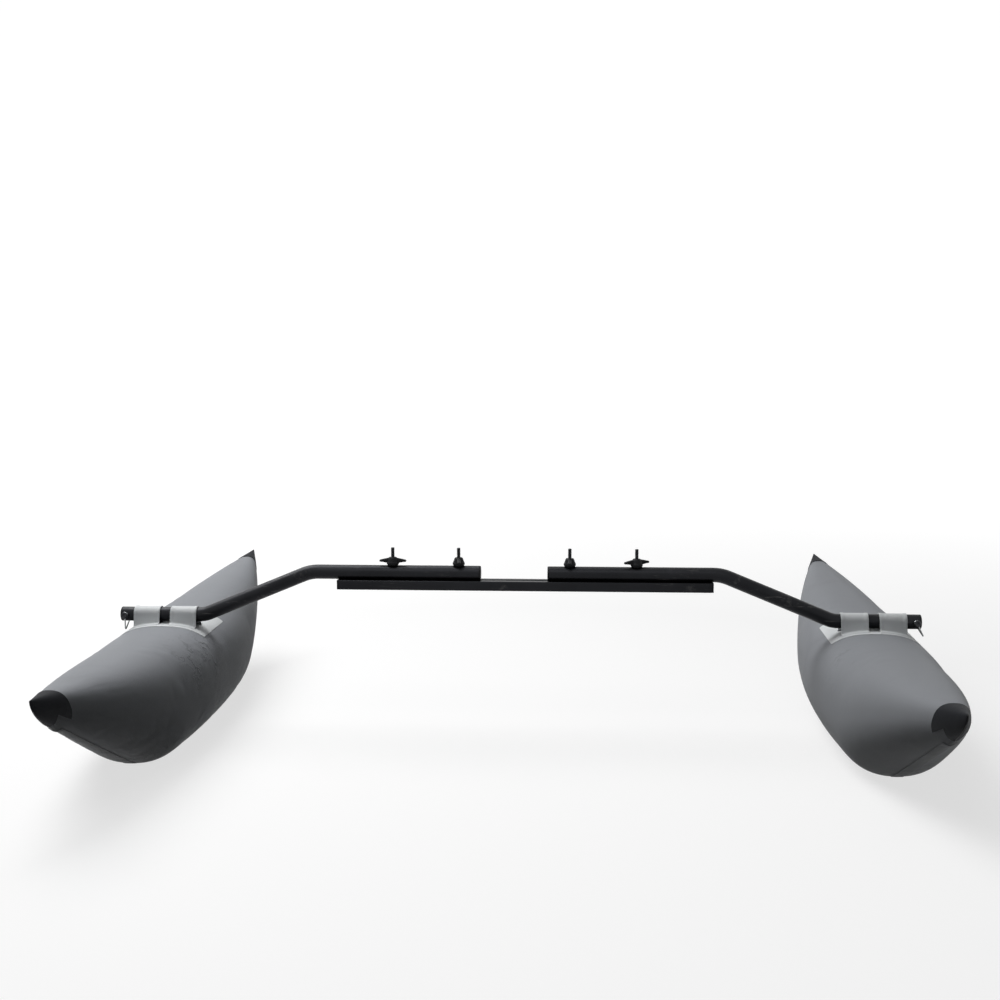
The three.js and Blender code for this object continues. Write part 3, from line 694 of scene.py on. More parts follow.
def build_creases():
    """Soft fold lines of a packed and blown up coated fabric: a height for the bump and a mask of
    the lines, along which the fabrics paint shade.
    """
    recipe, given, out = group_tree(
        "Fold Lines",
        [("Vector", "NodeSocketVector", None), ("Scale", "NodeSocketFloat", 7.0)],
        ["Height", "Lines"],
    )
    bend = recipe.noise(given["Vector"], given["Scale"], 2.0)
    inputs = {0: bend["Color"], "Scale": 0.09}
    shift = recipe.node("ShaderNodeVectorMath", inputs, operation="SCALE").outputs[0]
    inputs = {0: given["Vector"], 1: shift}
    warped = recipe.node("ShaderNodeVectorMath", inputs, operation="ADD").outputs[0]
    inputs = {"Vector": warped, "Scale": given["Scale"]}
    cells = recipe.node("ShaderNodeTexVoronoi", inputs, feature="DISTANCE_TO_EDGE")
    ridge = recipe.ranged(cells.outputs["Distance"], 0.0, 0.11, 1.0, 0.0)
    gate = recipe.noise(given["Vector"], recipe.math("MULTIPLY", given["Scale"], 0.8), 1.0)
    shown = recipe.ranged(gate[0], 0.48, 0.66, 0.0, 1.0)
    lines = recipe.math("MULTIPLY", ridge, shown)
    height = recipe.math("MULTIPLY_ADD", lines, 0.6)
    recipe.tree.links.new(bend[0], height.node.inputs[2])
    recipe.tree.links.new(height, out["Height"])
    recipe.tree.links.new(lines, out["Lines"])


GROUP_BUILDERS = {
    "Woven Threads": build_weave,
    "Fine Grain": build_grain,
    "Wear": build_wear,
    "Fold Lines": build_creases,
}


def placed_group(recipe, name, **inputs):
    """A node of a shared group, which is built when it is first used."""
    if name not in bpy.data.node_groups:
        GROUP_BUILDERS[name]()
    node = recipe.node("ShaderNodeGroup", node_tree=bpy.data.node_groups[name])
    for key, value in inputs.items():
        if isinstance(value, bpy.types.NodeSocket):
            recipe.tree.links.new(value, node.inputs[key])
        else:
            node.inputs[key].default_value = value
    return node.outputs


def new_material(name, **constants):
    """A material with its Principled shader's constants set; returns the material, its recipe
    and its shader.
    """
    material = bpy.data.materials.new(name)
    material.use_nodes = True
    recipe = Recipe(material.node_tree)
    shader = material.node_tree.nodes["Principled BSDF"]
    for key, value in constants.items():
        shader.inputs[key.replace("_", " ")].default_value = value
    return material, recipe, shader


def object_place(recipe):
    return recipe.node("ShaderNodeTexCoord").outputs["Object"]


def rgba(colour_value, factor=1.0):
    return tuple(min(channel * factor, 1.0) for channel in colour_value) + (1.0,)


def bump(recipe, shader, height, distance, strength=1.0):
    inputs = {"Height": height, "Distance": distance, "Strength": strength}
    made = recipe.node("ShaderNodeBump", inputs)
    recipe.tree.links.new(made.outputs[0], shader.inputs["Normal"])


def fabric_material(
    name, base, dust_and_highlight, threads, fold_scale, fold_height, soil, roughness, reflection, mask=None
):
    """Coated fabric: a weave under the coating, fold lines with painted shade along them, soiling
    and uneven gloss; a mask adds a painted highlight on a seam edge or painted shade in fine
    crumples.
    """
    material, recipe, shader = new_material(name, Metallic=0.0, Specular_IOR_Level=reflection)
    place = object_place(recipe)
    flat = recipe.node("ShaderNodeUVMap", uv_map=CLOTH_MAP).outputs[0]
    weave = placed_group(recipe, "Woven Threads", Vector=flat, Spacing=threads)["Height"]
    folds = placed_group(recipe, "Fold Lines", Vector=place, Scale=fold_scale)
    grain = placed_group(recipe, "Fine Grain", Vector=place, Scale=260.0)
    wear = placed_group(recipe, "Wear", Vector=place, Scale=11.0, Amount=soil)["Mask"]
    tone = recipe.mixed(grain["Patches"], rgba(base, 0.93), rgba(base, 1.06))
    tone = recipe.mixed(recipe.math("MULTIPLY", weave, 0.07), tone, rgba(base, 0.7))
    # Painted shade: the colour is darkened along the fold lines
    tone = recipe.mixed(recipe.math("MULTIPLY", folds["Lines"], 0.16), tone, rgba(base, 0.72))
    tone = recipe.mixed(wear, tone, rgba(dust_and_highlight))
    # Painted highlight: the patch's raised seam edge is mixed toward a pale grey, as if it caught
    # the light
    if mask == SEAM_HIGHLIGHT_MASK:
        edge = recipe.node("ShaderNodeAttribute", attribute_name=mask).outputs["Fac"]
        tone = recipe.mixed(recipe.math("MULTIPLY", edge, 0.45), tone, rgba(dust_and_highlight))
    # Painted shade: the crumpled area is darkened along its fine creases, which the bump also
    # raises
    if mask == CRUMPLE_MASK:
        slack = recipe.node("ShaderNodeAttribute", attribute_name=mask).outputs["Fac"]
        small = placed_group(recipe, "Fold Lines", Vector=place, Scale=fold_scale * 5)
        shade = recipe.math("MULTIPLY", slack, 2.4)
        crumple = recipe.math("MULTIPLY", small["Lines"], shade, True)
        tone = recipe.mixed(crumple, tone, rgba(base, 0.6))
    recipe.tree.links.new(tone, shader.inputs["Base Color"])
    gloss = recipe.ranged(grain["Patches"], 0.0, 1.0, roughness - 0.05, roughness + 0.06)
    gloss = recipe.math("ADD", gloss, recipe.math("MULTIPLY", wear, 0.25), True)
    recipe.tree.links.new(gloss, shader.inputs["Roughness"])
    height = recipe.math("MULTIPLY", weave, 0.00006 / fold_height)
    height = recipe.math("ADD", height, folds["Height"])
    if mask == CRUMPLE_MASK:
        lift = recipe.math("MULTIPLY", small["Height"], recipe.math("MULTIPLY", slack, 30.0))
        height = recipe.math("ADD", height, lift)
    bump(recipe, shader, height, fold_height)
    return material


def alloy_material(base, dust_and_highlight):
    """Black anodised alloy with faint draw lines and rubbed spots."""
    material, recipe, shader = new_material("Black Alloy", Metallic=0.85, Specular_IOR_Level=0.2)
    place = object_place(recipe)
    stretch = recipe.stretched(place, (0.04, 1.0, 1.0))
    lines = placed_group(recipe, "Fine Grain", Vector=stretch, Scale=1400.0)["Height"]
    grain = placed_group(recipe, "Fine Grain", Vector=place, Scale=700.0)
    wear = placed_group(recipe, "Wear", Vector=place, Scale=14.0, Amount=0.28)["Mask"]
    tone = recipe.mixed(grain["Patches"], rgba(base, 0.85), rgba(base, 1.25))
    tone = recipe.mixed(wear, tone, rgba(dust_and_highlight, 0.45))
    recipe.tree.links.new(tone, shader.inputs["Base Color"])
    gloss = recipe.ranged(grain["Patches"], 0.0, 1.0, 0.36, 0.46)
    gloss = recipe.math("ADD", gloss, recipe.math("MULTIPLY", wear, 0.3), True)
    recipe.tree.links.new(gloss, shader.inputs["Roughness"])
    bump(recipe, shader, recipe.math("ADD", lines, grain["Height"]), 0.00004, 0.6)
    return material


def plastic_material(base, dust_and_highlight):
    """Black moulded nylon with a satin spark grain."""
    material, recipe, shader = new_material("Black Plastic", Metallic=0.0, Specular_IOR_Level=0.12)
    place = object_place(recipe)
    grain = placed_group(recipe, "Fine Grain", Vector=place, Scale=1800.0)
    wear = placed_group(recipe, "Wear", Vector=place, Scale=45.0, Amount=0.22)["Mask"]
    tone = recipe.mixed(grain["Patches"], rgba(base, 0.85), rgba(base, 1.2))
    tone = recipe.mixed(wear, tone, rgba(dust_and_highlight, 0.35))
    recipe.tree.links.new(tone, shader.inputs["Base Color"])
    gloss = recipe.ranged(grain["Height"], 0.3, 0.7, 0.42, 0.56)
    recipe.tree.links.new(gloss, shader.inputs["Roughness"])
    bump(recipe, shader, grain["Height"], 0.00012, 0.7)
    return material


def steel_material(name, base, roughness, dust_and_highlight):
    """Bare or plated steel with fine polishing lines and dull spots."""
    material, recipe, shader = new_material(name, Metallic=1.0)
    place = object_place(recipe)
    stretch = recipe.stretched(place, (1.0, 1.0, 0.08))
    lines = placed_group(recipe, "Fine Grain", Vector=stretch, Scale=2600.0)
    wear = placed_group(recipe, "Wear", Vector=place, Scale=60.0, Amount=0.35)["Mask"]
    tone = recipe.mixed(lines["Patches"], rgba(base, 0.88), rgba(base, 1.08))
    tone = recipe.mixed(wear, tone, rgba(dust_and_highlight, 0.5))
    recipe.tree.links.new(tone, shader.inputs["Base Color"])
    gloss = recipe.ranged(lines["Height"], 0.3, 0.7, roughness - 0.07, roughness + 0.08)
    recipe.tree.links.new(gloss, shader.inputs["Roughness"])
    bump(recipe, shader, lines["Height"], 0.00003, 0.5)
    return material


def finish_of(name):
    """A material by name, made when it is first asked for."""
    if name in bpy.data.materials:
        return bpy.data.materials[name]
    tones = bpy.context.scene.outrigger_finish
    if name == "Black Alloy":
        return alloy_material(tones.alloy, tones.dust_and_highlight)
    if name == "Black Plastic":
        return plastic_material(tones.plastic, tones.dust_and_highlight)
    if name == "Stainless Steel":
        return steel_material(name, tones.steel, 0.3, tones.dust_and_highlight)
    if name == "Dark Steel":
        return steel_material(name, tones.dark_steel, 0.38, tones.dust_and_highlight)
    fabrics = {
        "Float Fabric": dict(
            base=tones.grey, threads=0.0013, fold_scale=6.5, fold_height=0.0002,
            soil=0.05, roughness=0.5, reflection=0.04, mask=CRUMPLE_MASK,
        ),
        "Light Fabric": dict(
            base=tones.light, threads=0.0012, fold_scale=26.0, fold_height=0.0004,
            soil=0.16, roughness=0.52, reflection=0.25,
        ),
        "Patch Fabric": dict(
            base=tones.black, threads=0.0013, fold_scale=24.0, fold_height=0.0003,
            soil=0.015, roughness=0.55, reflection=0.04, mask=SEAM_HIGHLIGHT_MASK,
        ),
        "Tape Fabric": dict(
            base=tones.tape, threads=0.0011, fold_scale=30.0, fold_height=0.0003,
            soil=0.08, roughness=0.5, reflection=0.04,
        ),
    }
    return fabric_material(name, dust_and_highlight=tones.dust_and_highlight, **fabrics[name])


# Float form


def float_grid(sizes, places, angles):
    """Points of the float's skin about the arm's axis, for places along it and angles that
    start outward.
    """
    places, angles = np.asarray(places, float), np.asarray(angles, float)
    reach = np.where(places < 0, sizes.aft_length, sizes.fore_length)
    from_tip = np.maximum(reach - np.abs(places), 0)
    along = np.abs(places) / reach
    taper = np.minimum(from_tip / sizes.taper, 1)
    crown = sizes.tip_rise * along**sizes.rise_power
    stem = sizes.stem_depth * (from_tip / sizes.stem_length) ** sizes.stem_curve
    foot = sizes.tip_rise * (1 - sizes.stem_length / reach) ** sizes.rise_power - sizes.stem_depth
    climb = (from_tip - sizes.stem_length) / (sizes.taper - sizes.stem_length)
    soft = sizes.keel_rounding
    run = 0.5 * (climb + 1 - np.sqrt((1 - climb) ** 2 + soft**2))
    run = np.clip(run, 0, 1)
    keel = foot - (sizes.depth + foot) * run
    depth = np.where(from_tip < sizes.stem_length, stem, crown - keel)
    half = sizes.width / 2 * (1 - along**sizes.plan_power)
    waist = sizes.tip_waist + (sizes.waist - sizes.tip_waist) * taper
    belly = sizes.tip_belly_power + (sizes.belly_power - sizes.tip_belly_power) * taper
    across, upward = np.cos(angles)[None, :], np.sin(angles)[None, :]
    power = np.where(upward > 0, 2 / sizes.crown_power, 2 / belly[:, None])
    x = half[:, None] * np.sign(across) * np.abs(across) ** power
    reach_z = np.where(upward > 0, (depth * waist)[:, None], (depth * (1 - waist))[:, None])
    z = (crown - depth * waist)[:, None] + reach_z * np.sign(upward) * np.abs(upward) ** power
    y = np.broadcast_to(places[:, None], x.shape)
    return np.stack([x, y, z - sizes.tube_to_crown], -1)


def float_places(sizes, stem_steps, body_steps):
    """Places along the float, close together at the stems."""
    stem = sizes.stem_length * (np.arange(1, stem_steps + 1) / stem_steps) ** 1.6
    body = np.linspace(sizes.stem_length, sizes.taper * 1.02, body_steps)[1:]
    aft = np.concatenate([stem, body]) - sizes.aft_length
    fore = (sizes.fore_length - np.concatenate([stem, body]))[::-1]
    gap = fore[0] - aft[-1]
    steps = max(int(gap / (body[1] - body[0])), 2)
    middle = np.linspace(aft[-1], fore[0], steps + 1)[1:-1]
    return np.concatenate([aft, middle, fore])


def seam_distance(angles):
    """How far round from the keel seam each angle lies, from 0 to 1 at the crown."""
    return np.abs(np.angle(np.exp(1j * (angles + math.pi / 2)))) / math.pi


def wrinkled(sizes, points, normals, places, angles, seed, slack):
    """Moves skin points along their normals: puckers at the keel, creases behind the tips, a
    bulge at each heel and a broad swell.
    """
    reach = np.where(places < 0, sizes.aft_length, sizes.fore_length)
    from_tip = reach - np.abs(places)
    seam = seam_distance(angles)
    pucker_spacing, crease_start, crease_run = 0.027, 0.07, 0.35
    heel_place, heel_run = 0.106, 0.016
    moved_points = points.copy()
    for i, gap in enumerate(from_tip):
        bulge = sizes.heel * math.exp(-(((gap - heel_place) / heel_run) ** 2))
        for j in range(points.shape[1]):
            x, y, z = points[i, j]
            here = Vector((x, y, z)) + Vector((seed * 3.1, seed * 7.7, seed * 1.3))
            swell = noise.noise(here * 5.0) + 0.5 * noise.noise(here * 11.0)
            shift = sizes.unevenness * slack * swell * min(gap / 0.25, 1)
            near = math.exp(-((seam[j] / 0.07) ** 2))
            wave = noise.noise(Vector((y * 30.0, seed * 5.0, 0.5)))
            pucker = math.sin(y * 2 * math.pi / pucker_spacing + 5 * wave)
            shift += sizes.pucker * near * pucker * min(gap / 0.1, 1)
            if 0 < gap - crease_start < crease_run:
                fade = math.sin(math.pi * (gap - crease_start) / crease_run) ** 1.5
                drift = noise.noise(Vector((y * 5.0, seed * 9.0, seam[j] * 3.0)))
                line = seam[j] * 9.0 + 2.2 * drift
                ridge = 1 - abs(2 * (line % 1.0) - 1)
                gate = noise.noise(Vector((y * 8.0, seam[j] * 6.0, seed * 2.0 + x * 9.0)))
                shift -= sizes.crease * slack * fade * max(gate, 0) * 2.4 * ridge**4
            shift += bulge * math.exp(-((seam[j] / 0.12) ** 2))
            moved_points[i, j] += normals[i, j] * shift
    return moved_points


def evened(field, rounds):
    """A field on a grid that closes round its rows, smoothed."""
    for _ in range(rounds):
        field = (np.roll(field, 1, axis=1) + 2 * field + np.roll(field, -1, axis=1)) / 4
        ends = np.concatenate([field[:1], field, field[-1:]])
        field = (ends[:-2] + 2 * ends[1:-1] + ends[2:]) / 4
    return field


def eased(t):
    t = np.clip(t, 0, 1)
    return t * t * (3 - 2 * t)


def grid_normals(points):
    """Outward normals of a grid that closes round its rows."""
    along = np.gradient(points, axis=0)
    around = (np.roll(points, -1, axis=1) - np.roll(points, 1, axis=1)) / 2
    normals = np.cross(around, along)
    middle = points.mean(axis=1, keepdims=True)
    flip = np.sign(np.sum(normals * (points - middle), axis=2, keepdims=True))
    normals *= np.where(flip == 0, 1, flip)
    size = np.linalg.norm(normals, axis=2, keepdims=True)
    return normals / np.maximum(size, 1e-12)


def painted(mesh, name, values):
    """Gives a mesh's points a value each, for its material to read."""
    layer = mesh.attributes.new(name, "FLOAT", "POINT")
    for item, value in zip(layer.data, values):
        item.value = float(value)


def skin_piece(name, grid, sizes):
    """The float's skin from a grid of points, closed to a point at each tip, with its cloth
    map.
    """
    rows, columns, _ = grid.shape
    points = [Vector(point) for point in grid.reshape(-1, 3)]
    height = sizes.tip_rise - sizes.tube_to_crown
    points += [Vector((0, -sizes.aft_length, height)), Vector((0, sizes.fore_length, height))]
    faces = grid_faces(rows, columns, True)
    last = (rows - 1) * columns
    for j in range(columns):
        k = (j + 1) % columns
        faces.append((j, k, rows * columns))
        faces.append((last + j, last + k, rows * columns + 1))
    piece = new_piece(name, points, faces)
    around = np.linalg.norm(np.roll(grid, -1, axis=1) - grid, axis=2)
    girth = np.concatenate([np.zeros((rows, 1)), np.cumsum(around, axis=1)], axis=1)
    layer = piece.data.uv_layers.new(name=CLOTH_MAP)
    for face in piece.data.polygons:
        ids = list(face.vertices)
        cols = [i % columns for i in ids if i < rows * columns]
        wraps = 0 in cols and columns - 1 in cols
        for loop, i in zip(face.loop_indices, ids):
            if i >= rows * columns:
                layer.data[loop].uv = (0.0, points[i].y)
                continue
            row, column = divmod(i, columns)
            column = columns if wraps and column == 0 else column
            layer.data[loop].uv = (girth[row, column], points[i].y)
    return piece


def inflated(piece, held, frames, pressure, slack, cap):
    """Blows the skin up as cloth with a little slack, held at its seams, and keeps each point
    near its place.
    """
    start = np.array([vertex.co for vertex in piece.data.vertices])
    group = piece.vertex_groups.new(name="Held")
    for index, weight in enumerate(held):
        if weight > 0:
            group.add([index], float(weight), "REPLACE")
    cloth = piece.modifiers.new("Inflate", "CLOTH")
    settings = cloth.settings
    settings.quality = 5
    settings.mass = 0.25
    settings.tension_stiffness = 60
    settings.compression_stiffness = 40
    settings.shear_stiffness = 15
    settings.bending_stiffness = 0.6
    settings.tension_damping = 12
    settings.bending_damping = 1.5
    settings.air_damping = 4
    settings.use_pressure = True
    settings.uniform_pressure_force = pressure
    settings.shrink_min = -slack
    settings.shrink_max = -slack
    settings.effector_weights.gravity = 0
    settings.vertex_group_mass = group.name
    cloth.collision_settings.use_collision = False
    cloth.point_cache.frame_start = 1
    cloth.point_cache.frame_end = frames
    scene = bpy.context.scene
    for number in range(1, frames + 1):
        scene.frame_set(number)
    graph = bpy.context.evaluated_depsgraph_get()
    result = piece.evaluated_get(graph)
    end = np.array([vertex.co for vertex in result.data.vertices])
    shift = end - start
    size = np.linalg.norm(shift, axis=1, keepdims=True)
    shift *= np.minimum(1, cap / np.maximum(size, 1e-9))
    piece.modifiers.clear()
    piece.vertex_groups.clear()
    scene.frame_set(1)
    for vertex, place in zip(piece.data.vertices, start + shift):
        vertex.co = place
    piece.data.update()
    return piece


def drawn_surface(side):
    """Where a side's pieces go, and its finished skin's surface brought back to the frame in
    which they are drawn.
    """
    place = sided(side) @ Matrix.Translation(pivot("right_float_pitch"))
    twin = copied(bpy.data.objects[side + "_inflated_skin"], "skin_copy", place.inverted())
    surface = surface_of(twin)
    bpy.data.objects.remove(twin)
    return place, surface


# Operators, one for each piece or group of like pieces


class StageOperator(bpy.types.Operator):
    """Builds the floor and backdrop, the lamps, the world's light and the camera"""

    bl_idname = "outrigger.stage"
    bl_label = "Stage"

    def execute(self, context):
        studio = context.scene.outrigger_studio
        context.scene.view_settings.view_transform = "Standard"
        self.make_camera(context, studio)
        self.make_backdrop(studio)
        self.make_lamps(studio)
        self.make_world(context)
        return {"FINISHED"}

    def make_camera(self, context, studio):
        data = bpy.data.cameras.new("Studio camera")
        data.sensor_fit = "HORIZONTAL"
        data.sensor_width = 36
        data.lens = studio.lens
        data.clip_end = 60
        camera = bpy.data.objects.new("Studio camera", data)
        context.scene.collection.objects.link(camera)
        yaw, pitch, roll = studio.camera_yaw, studio.camera_pitch, studio.camera_roll
        flat = math.cos(pitch)
        ahead = Vector((math.sin(yaw) * flat, math.cos(yaw) * flat, -math.sin(pitch)))
        level = Vector((math.cos(yaw), -math.sin(yaw), 0))
        above = level.cross(ahead)
        right = level * math.cos(roll) + above * math.sin(roll)
        up = above * math.cos(roll) - level * math.sin(roll)
        turn = Matrix((right, up, -ahead)).transposed().to_4x4()
        camera.matrix_world = Matrix.Translation(studio.camera_place) @ turn
        context.scene.camera = camera

    def make_backdrop(self, studio):
        """A floor that curves up into a wall behind the object."""
        near, far, wall, bend, half, steps = -9.0, 7.0, 9.0, 3.0, 14.0, 12
        line = [(near, 0.0), (far - bend, 0.0)]
        for k in range(1, steps + 1):
            turn = math.pi / 2 * k / steps
            line.append((far - bend + bend * math.sin(turn), bend * (1 - math.cos(turn))))
        line.append((far, wall))
        points = [(x, y, z) for y, z in line for x in (-half, half)]
        backdrop = new_piece("backdrop", points, grid_faces(len(line), 2, False))
        shaded(backdrop)
        material, recipe, shader = new_material("Backdrop", Roughness=0.9, Specular_IOR_Level=0.0)
        shader.inputs["Base Color"].default_value = rgba(studio.floor, 0.34)
        dark = recipe.node("ShaderNodeBsdfDiffuse", {"Color": rgba(studio.floor, 0.05)})
        place = object_place(recipe)
        distance = recipe.node("ShaderNodeVectorMath", {0: place}, operation="LENGTH")
        away = recipe.ranged(distance.outputs["Value"], 1.4, 4.5, 0.0, 1.0)
        tone = recipe.mixed(away, rgba(studio.floor, 0.74), WHITE)
        glow = recipe.node("ShaderNodeEmission", {"Color": tone, "Strength": 1.0})
        pale = recipe.node("ShaderNodeAddShader", {0: shader.outputs[0], 1: glow.outputs[0]})
        recipe.shown_white(dark, pale, "Material Output")
        backdrop.data.materials.append(material)

    def make_lamps(self, studio):
        lamps = (
            ("Overhead softbox", (-1.7, 0.9, 3.3), (-0.1, 0.0, 0.2), 2.6, studio.overhead),
            ("Front softbox", (-0.5, -2.7, 3.6), (0.1, 0.0, 0.3), 1.6, studio.front_fill),
            ("Right softbox", (3.8, -1.8, 1.9), (0.4, 0.0, 0.3), 2.0, studio.right_fill),
        )
        for name, place, aim, size, power in lamps:
            data = bpy.data.lights.new(name, "AREA")
            data.shape = "SQUARE"
            data.size = size
            data.energy = power
            lamp = bpy.data.objects.new(name, data)
            bpy.context.scene.collection.objects.link(lamp)
            lamp.location = place
            lamp.rotation_euler = (Vector(aim) - Vector(place)).to_track_quat("-Z", "Y").to_euler()
            lamp.visible_camera = False

    def make_world(self, context):
        """Light that falls from above and is weak from below; the background is white."""
        world = bpy.data.worlds.new("Studio")
        context.scene.world = world
        world.use_nodes = True
        recipe = Recipe(world.node_tree)
        sky = world.node_tree.nodes["Background"]
        upward = recipe.node("ShaderNodeTexCoord").outputs["Generated"]
        height = recipe.node("ShaderNodeSeparateXYZ", {0: upward}).outputs["Z"]
        strength = recipe.ranged(height, 0.05, 1.0, 0.01, 0.1)
        recipe.tree.links.new(strength, sky.inputs["Strength"])
        sky.inputs["Color"].default_value = (0.96, 0.98, 1.0, 1.0)
        white = recipe.node("ShaderNodeBackground", {"Color": WHITE, "Strength": 1.0})
        recipe.shown_white(sky, white, "World Output")


class RailOperator(bpy.types.Operator):
    """Builds the slotted cross rail and its two end caps"""

    bl_idname = "outrigger.rail"
    bl_label = "Cross Rail"

    def execute(self, context):
        rail = of_node("cross_rail", "cross_rail_extrusion", 0.0004)
        dress(rail, "rail", "black_alloy", finish_of("Black Alloy"), "cross_rail")
        for side in SIDES:
            node = "rail_end_cap_" + side
            cap = of_node(node, "rail_cap_" + side, 0.0007)
            dress(cap, "rail", "black_plastic", finish_of("Black Plastic"), node)
        return {"FINISHED"}


class ArmsOperator(bpy.types.Operator):
    """Builds the cranked arm tubes and the plugs in their ends"""

    bl_idname = "outrigger.arms"
    bl_label = "Arms"

    def execute(self, context):
        arm = context.scene.outrigger_arm
        hardware = context.scene.outrigger_hardware
        hub = pivot("right_float_pitch")
        low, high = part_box("right_arm_tube")
        tube = self.tube(arm, hardware)
        inner, outer = self.plug(arm, "inner"), self.plug(arm, "outer")
        turn = Matrix.Rotation(-math.pi / 2, 4, "Y")
        moved(inner, Matrix.Translation((low.x, hub.y, hub.z + arm.drop)) @ turn)
        turn = Matrix.Rotation(math.pi / 2, 4, "Y")
        moved(outer, Matrix.Translation((high.x, hub.y, hub.z)) @ turn)
        pin_hole = hardware.pin_diameter + 2 * CLEARANCE
        shaded(drilled(outer, pivot("right_bail_swing"), (0, 1, 0), pin_hole, 0.03), 35)
        for side in SIDES:
            for piece, name, slot, finish, node in (
                (tube, "_cranked_tube", "black_alloy", "Black Alloy", "_arm_tube"),
                (inner, "_inner_plug", "black_plastic", "Black Plastic", "_arm_inner_plug"),
                (outer, "_outer_plug", "black_plastic", "Black Plastic", "_arm_outer_plug"),
            ):
                twin = copied(piece, side + name, sided(side))
                dress(twin, side + "_arm", slot, finish_of(finish), side + node)
        for piece in (tube, inner, outer):
            bpy.data.objects.remove(piece)
        return {"FINISHED"}

    def line(self, arm, start, end, axis_y, outer_z):
        """Centre line of the right arm."""
        steps = 16
        slope = math.atan2(arm.drop, arm.slope_run)
        outer_x = pivot("right_float_pitch").x - arm.float_to_bend
        inner_x = outer_x - arm.slope_run
        points = [Vector((start, axis_y, outer_z + arm.drop))]
        for corner_x, corner_z, radius, before, after in (
            (inner_x, outer_z + arm.drop, arm.inner_radius, 0, slope),
            (outer_x, outer_z, arm.outer_radius, slope, 0),
        ):
            bend = after - before
            reach = radius * math.tan(abs(bend) / 2)
            bow = 1 if bend > 0 else -1
            start_x = corner_x - reach * math.cos(before)
            start_z = corner_z + reach * math.sin(before)
            centre_x = start_x - bow * radius * math.sin(before)
            centre_z = start_z - bow * radius * math.cos(before)
            for k in range(steps + 1):
                turn = before + bend * k / steps
                x = centre_x + bow * radius * math.sin(turn)
                z = centre_z + bow * radius * math.cos(turn)
                points.append(Vector((x, axis_y, z)))
        points.append(Vector((end, axis_y, outer_z)))
        return points

    def tube(self, arm, hardware):
        """The hollow tube with rounded ends, drilled for the studs and the lock pin."""
        low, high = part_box("right_arm_tube")
        hub = pivot("right_float_pitch")
        sides, lip = hardware.turned_sides, arm.lip
        radius, bore = arm.tube_diameter / 2, arm.tube_diameter / 2 - arm.tube_wall
        path = self.line(arm, low.x + lip, high.x - lip, hub.y, hub.z)
        outside = rings_along(path, radius, sides)
        inside = rings_along(path, bore, sides)
        first, last = Vector((-lip, 0, 0)), Vector((lip, 0, 0))
        shrunk = rings_along(path, radius - lip, sides)
        widened = rings_along(path, bore + lip, sides)
        rings = [[point + first for point in widened[0]], [point + first for point in shrunk[0]]]
        rings += outside
        rings += [[point + last for point in shrunk[-1]], [point + last for point in widened[-1]]]
        rings += inside[::-1]
        points = [point for ring in rings for point in ring]
        tube = new_piece("tube", points, ring_walls(len(rings), sides, closed=True))
        stud_hole = hardware.stud_diameter + 0.0008
        for place in ("inner", "outer"):
            drilled(tube, pivot("right_" + place + "_knob_turn"), (0, 0, 1), stud_hole)
        pin_hole = hardware.pin_diameter + 2 * CLEARANCE
        drilled(tube, pivot("right_bail_swing"), (0, 1, 0), pin_hole)
        return shaded(tube, 35)

    def plug(self, arm, name):
        """A ribbed plug whose flange lies above zero, with a shallow dish in its face."""
        radius, end = arm.tube_diameter / 2, -arm.plug_length
        bore = radius - arm.tube_wall
        core, crest = bore - 0.0011, bore - 0.0006
        rib_pitch, rib_width, ribs = 0.003, 0.0016, 4
        gap, top = CLEARANCE, CLEARANCE + arm.flange
        profile = [(0, end), (core - 0.0005, end), (core, end + 0.001)]
        for k in range(ribs):
            rib = end + rib_pitch + rib_pitch * k
            profile += [(core, rib), (crest, rib + rib_width / 2), (core, rib + rib_width)]
        profile += [
            (core, gap), (radius - CLEARANCE, gap), (radius, gap + 0.0004),
            (radius - 0.0001, top - 0.0012), (radius - 0.0005, top - 0.0004),
            (radius - 0.0014, top), (radius - 0.0034, top), (radius - 0.0042, top - 0.0006),
            (radius * 0.3, top - 0.0007), (radius * 0.2, top - 0.0011), (0, top - 0.0012),
        ]
        return shaded(turned("plug_" + name, profile, 40), 35)


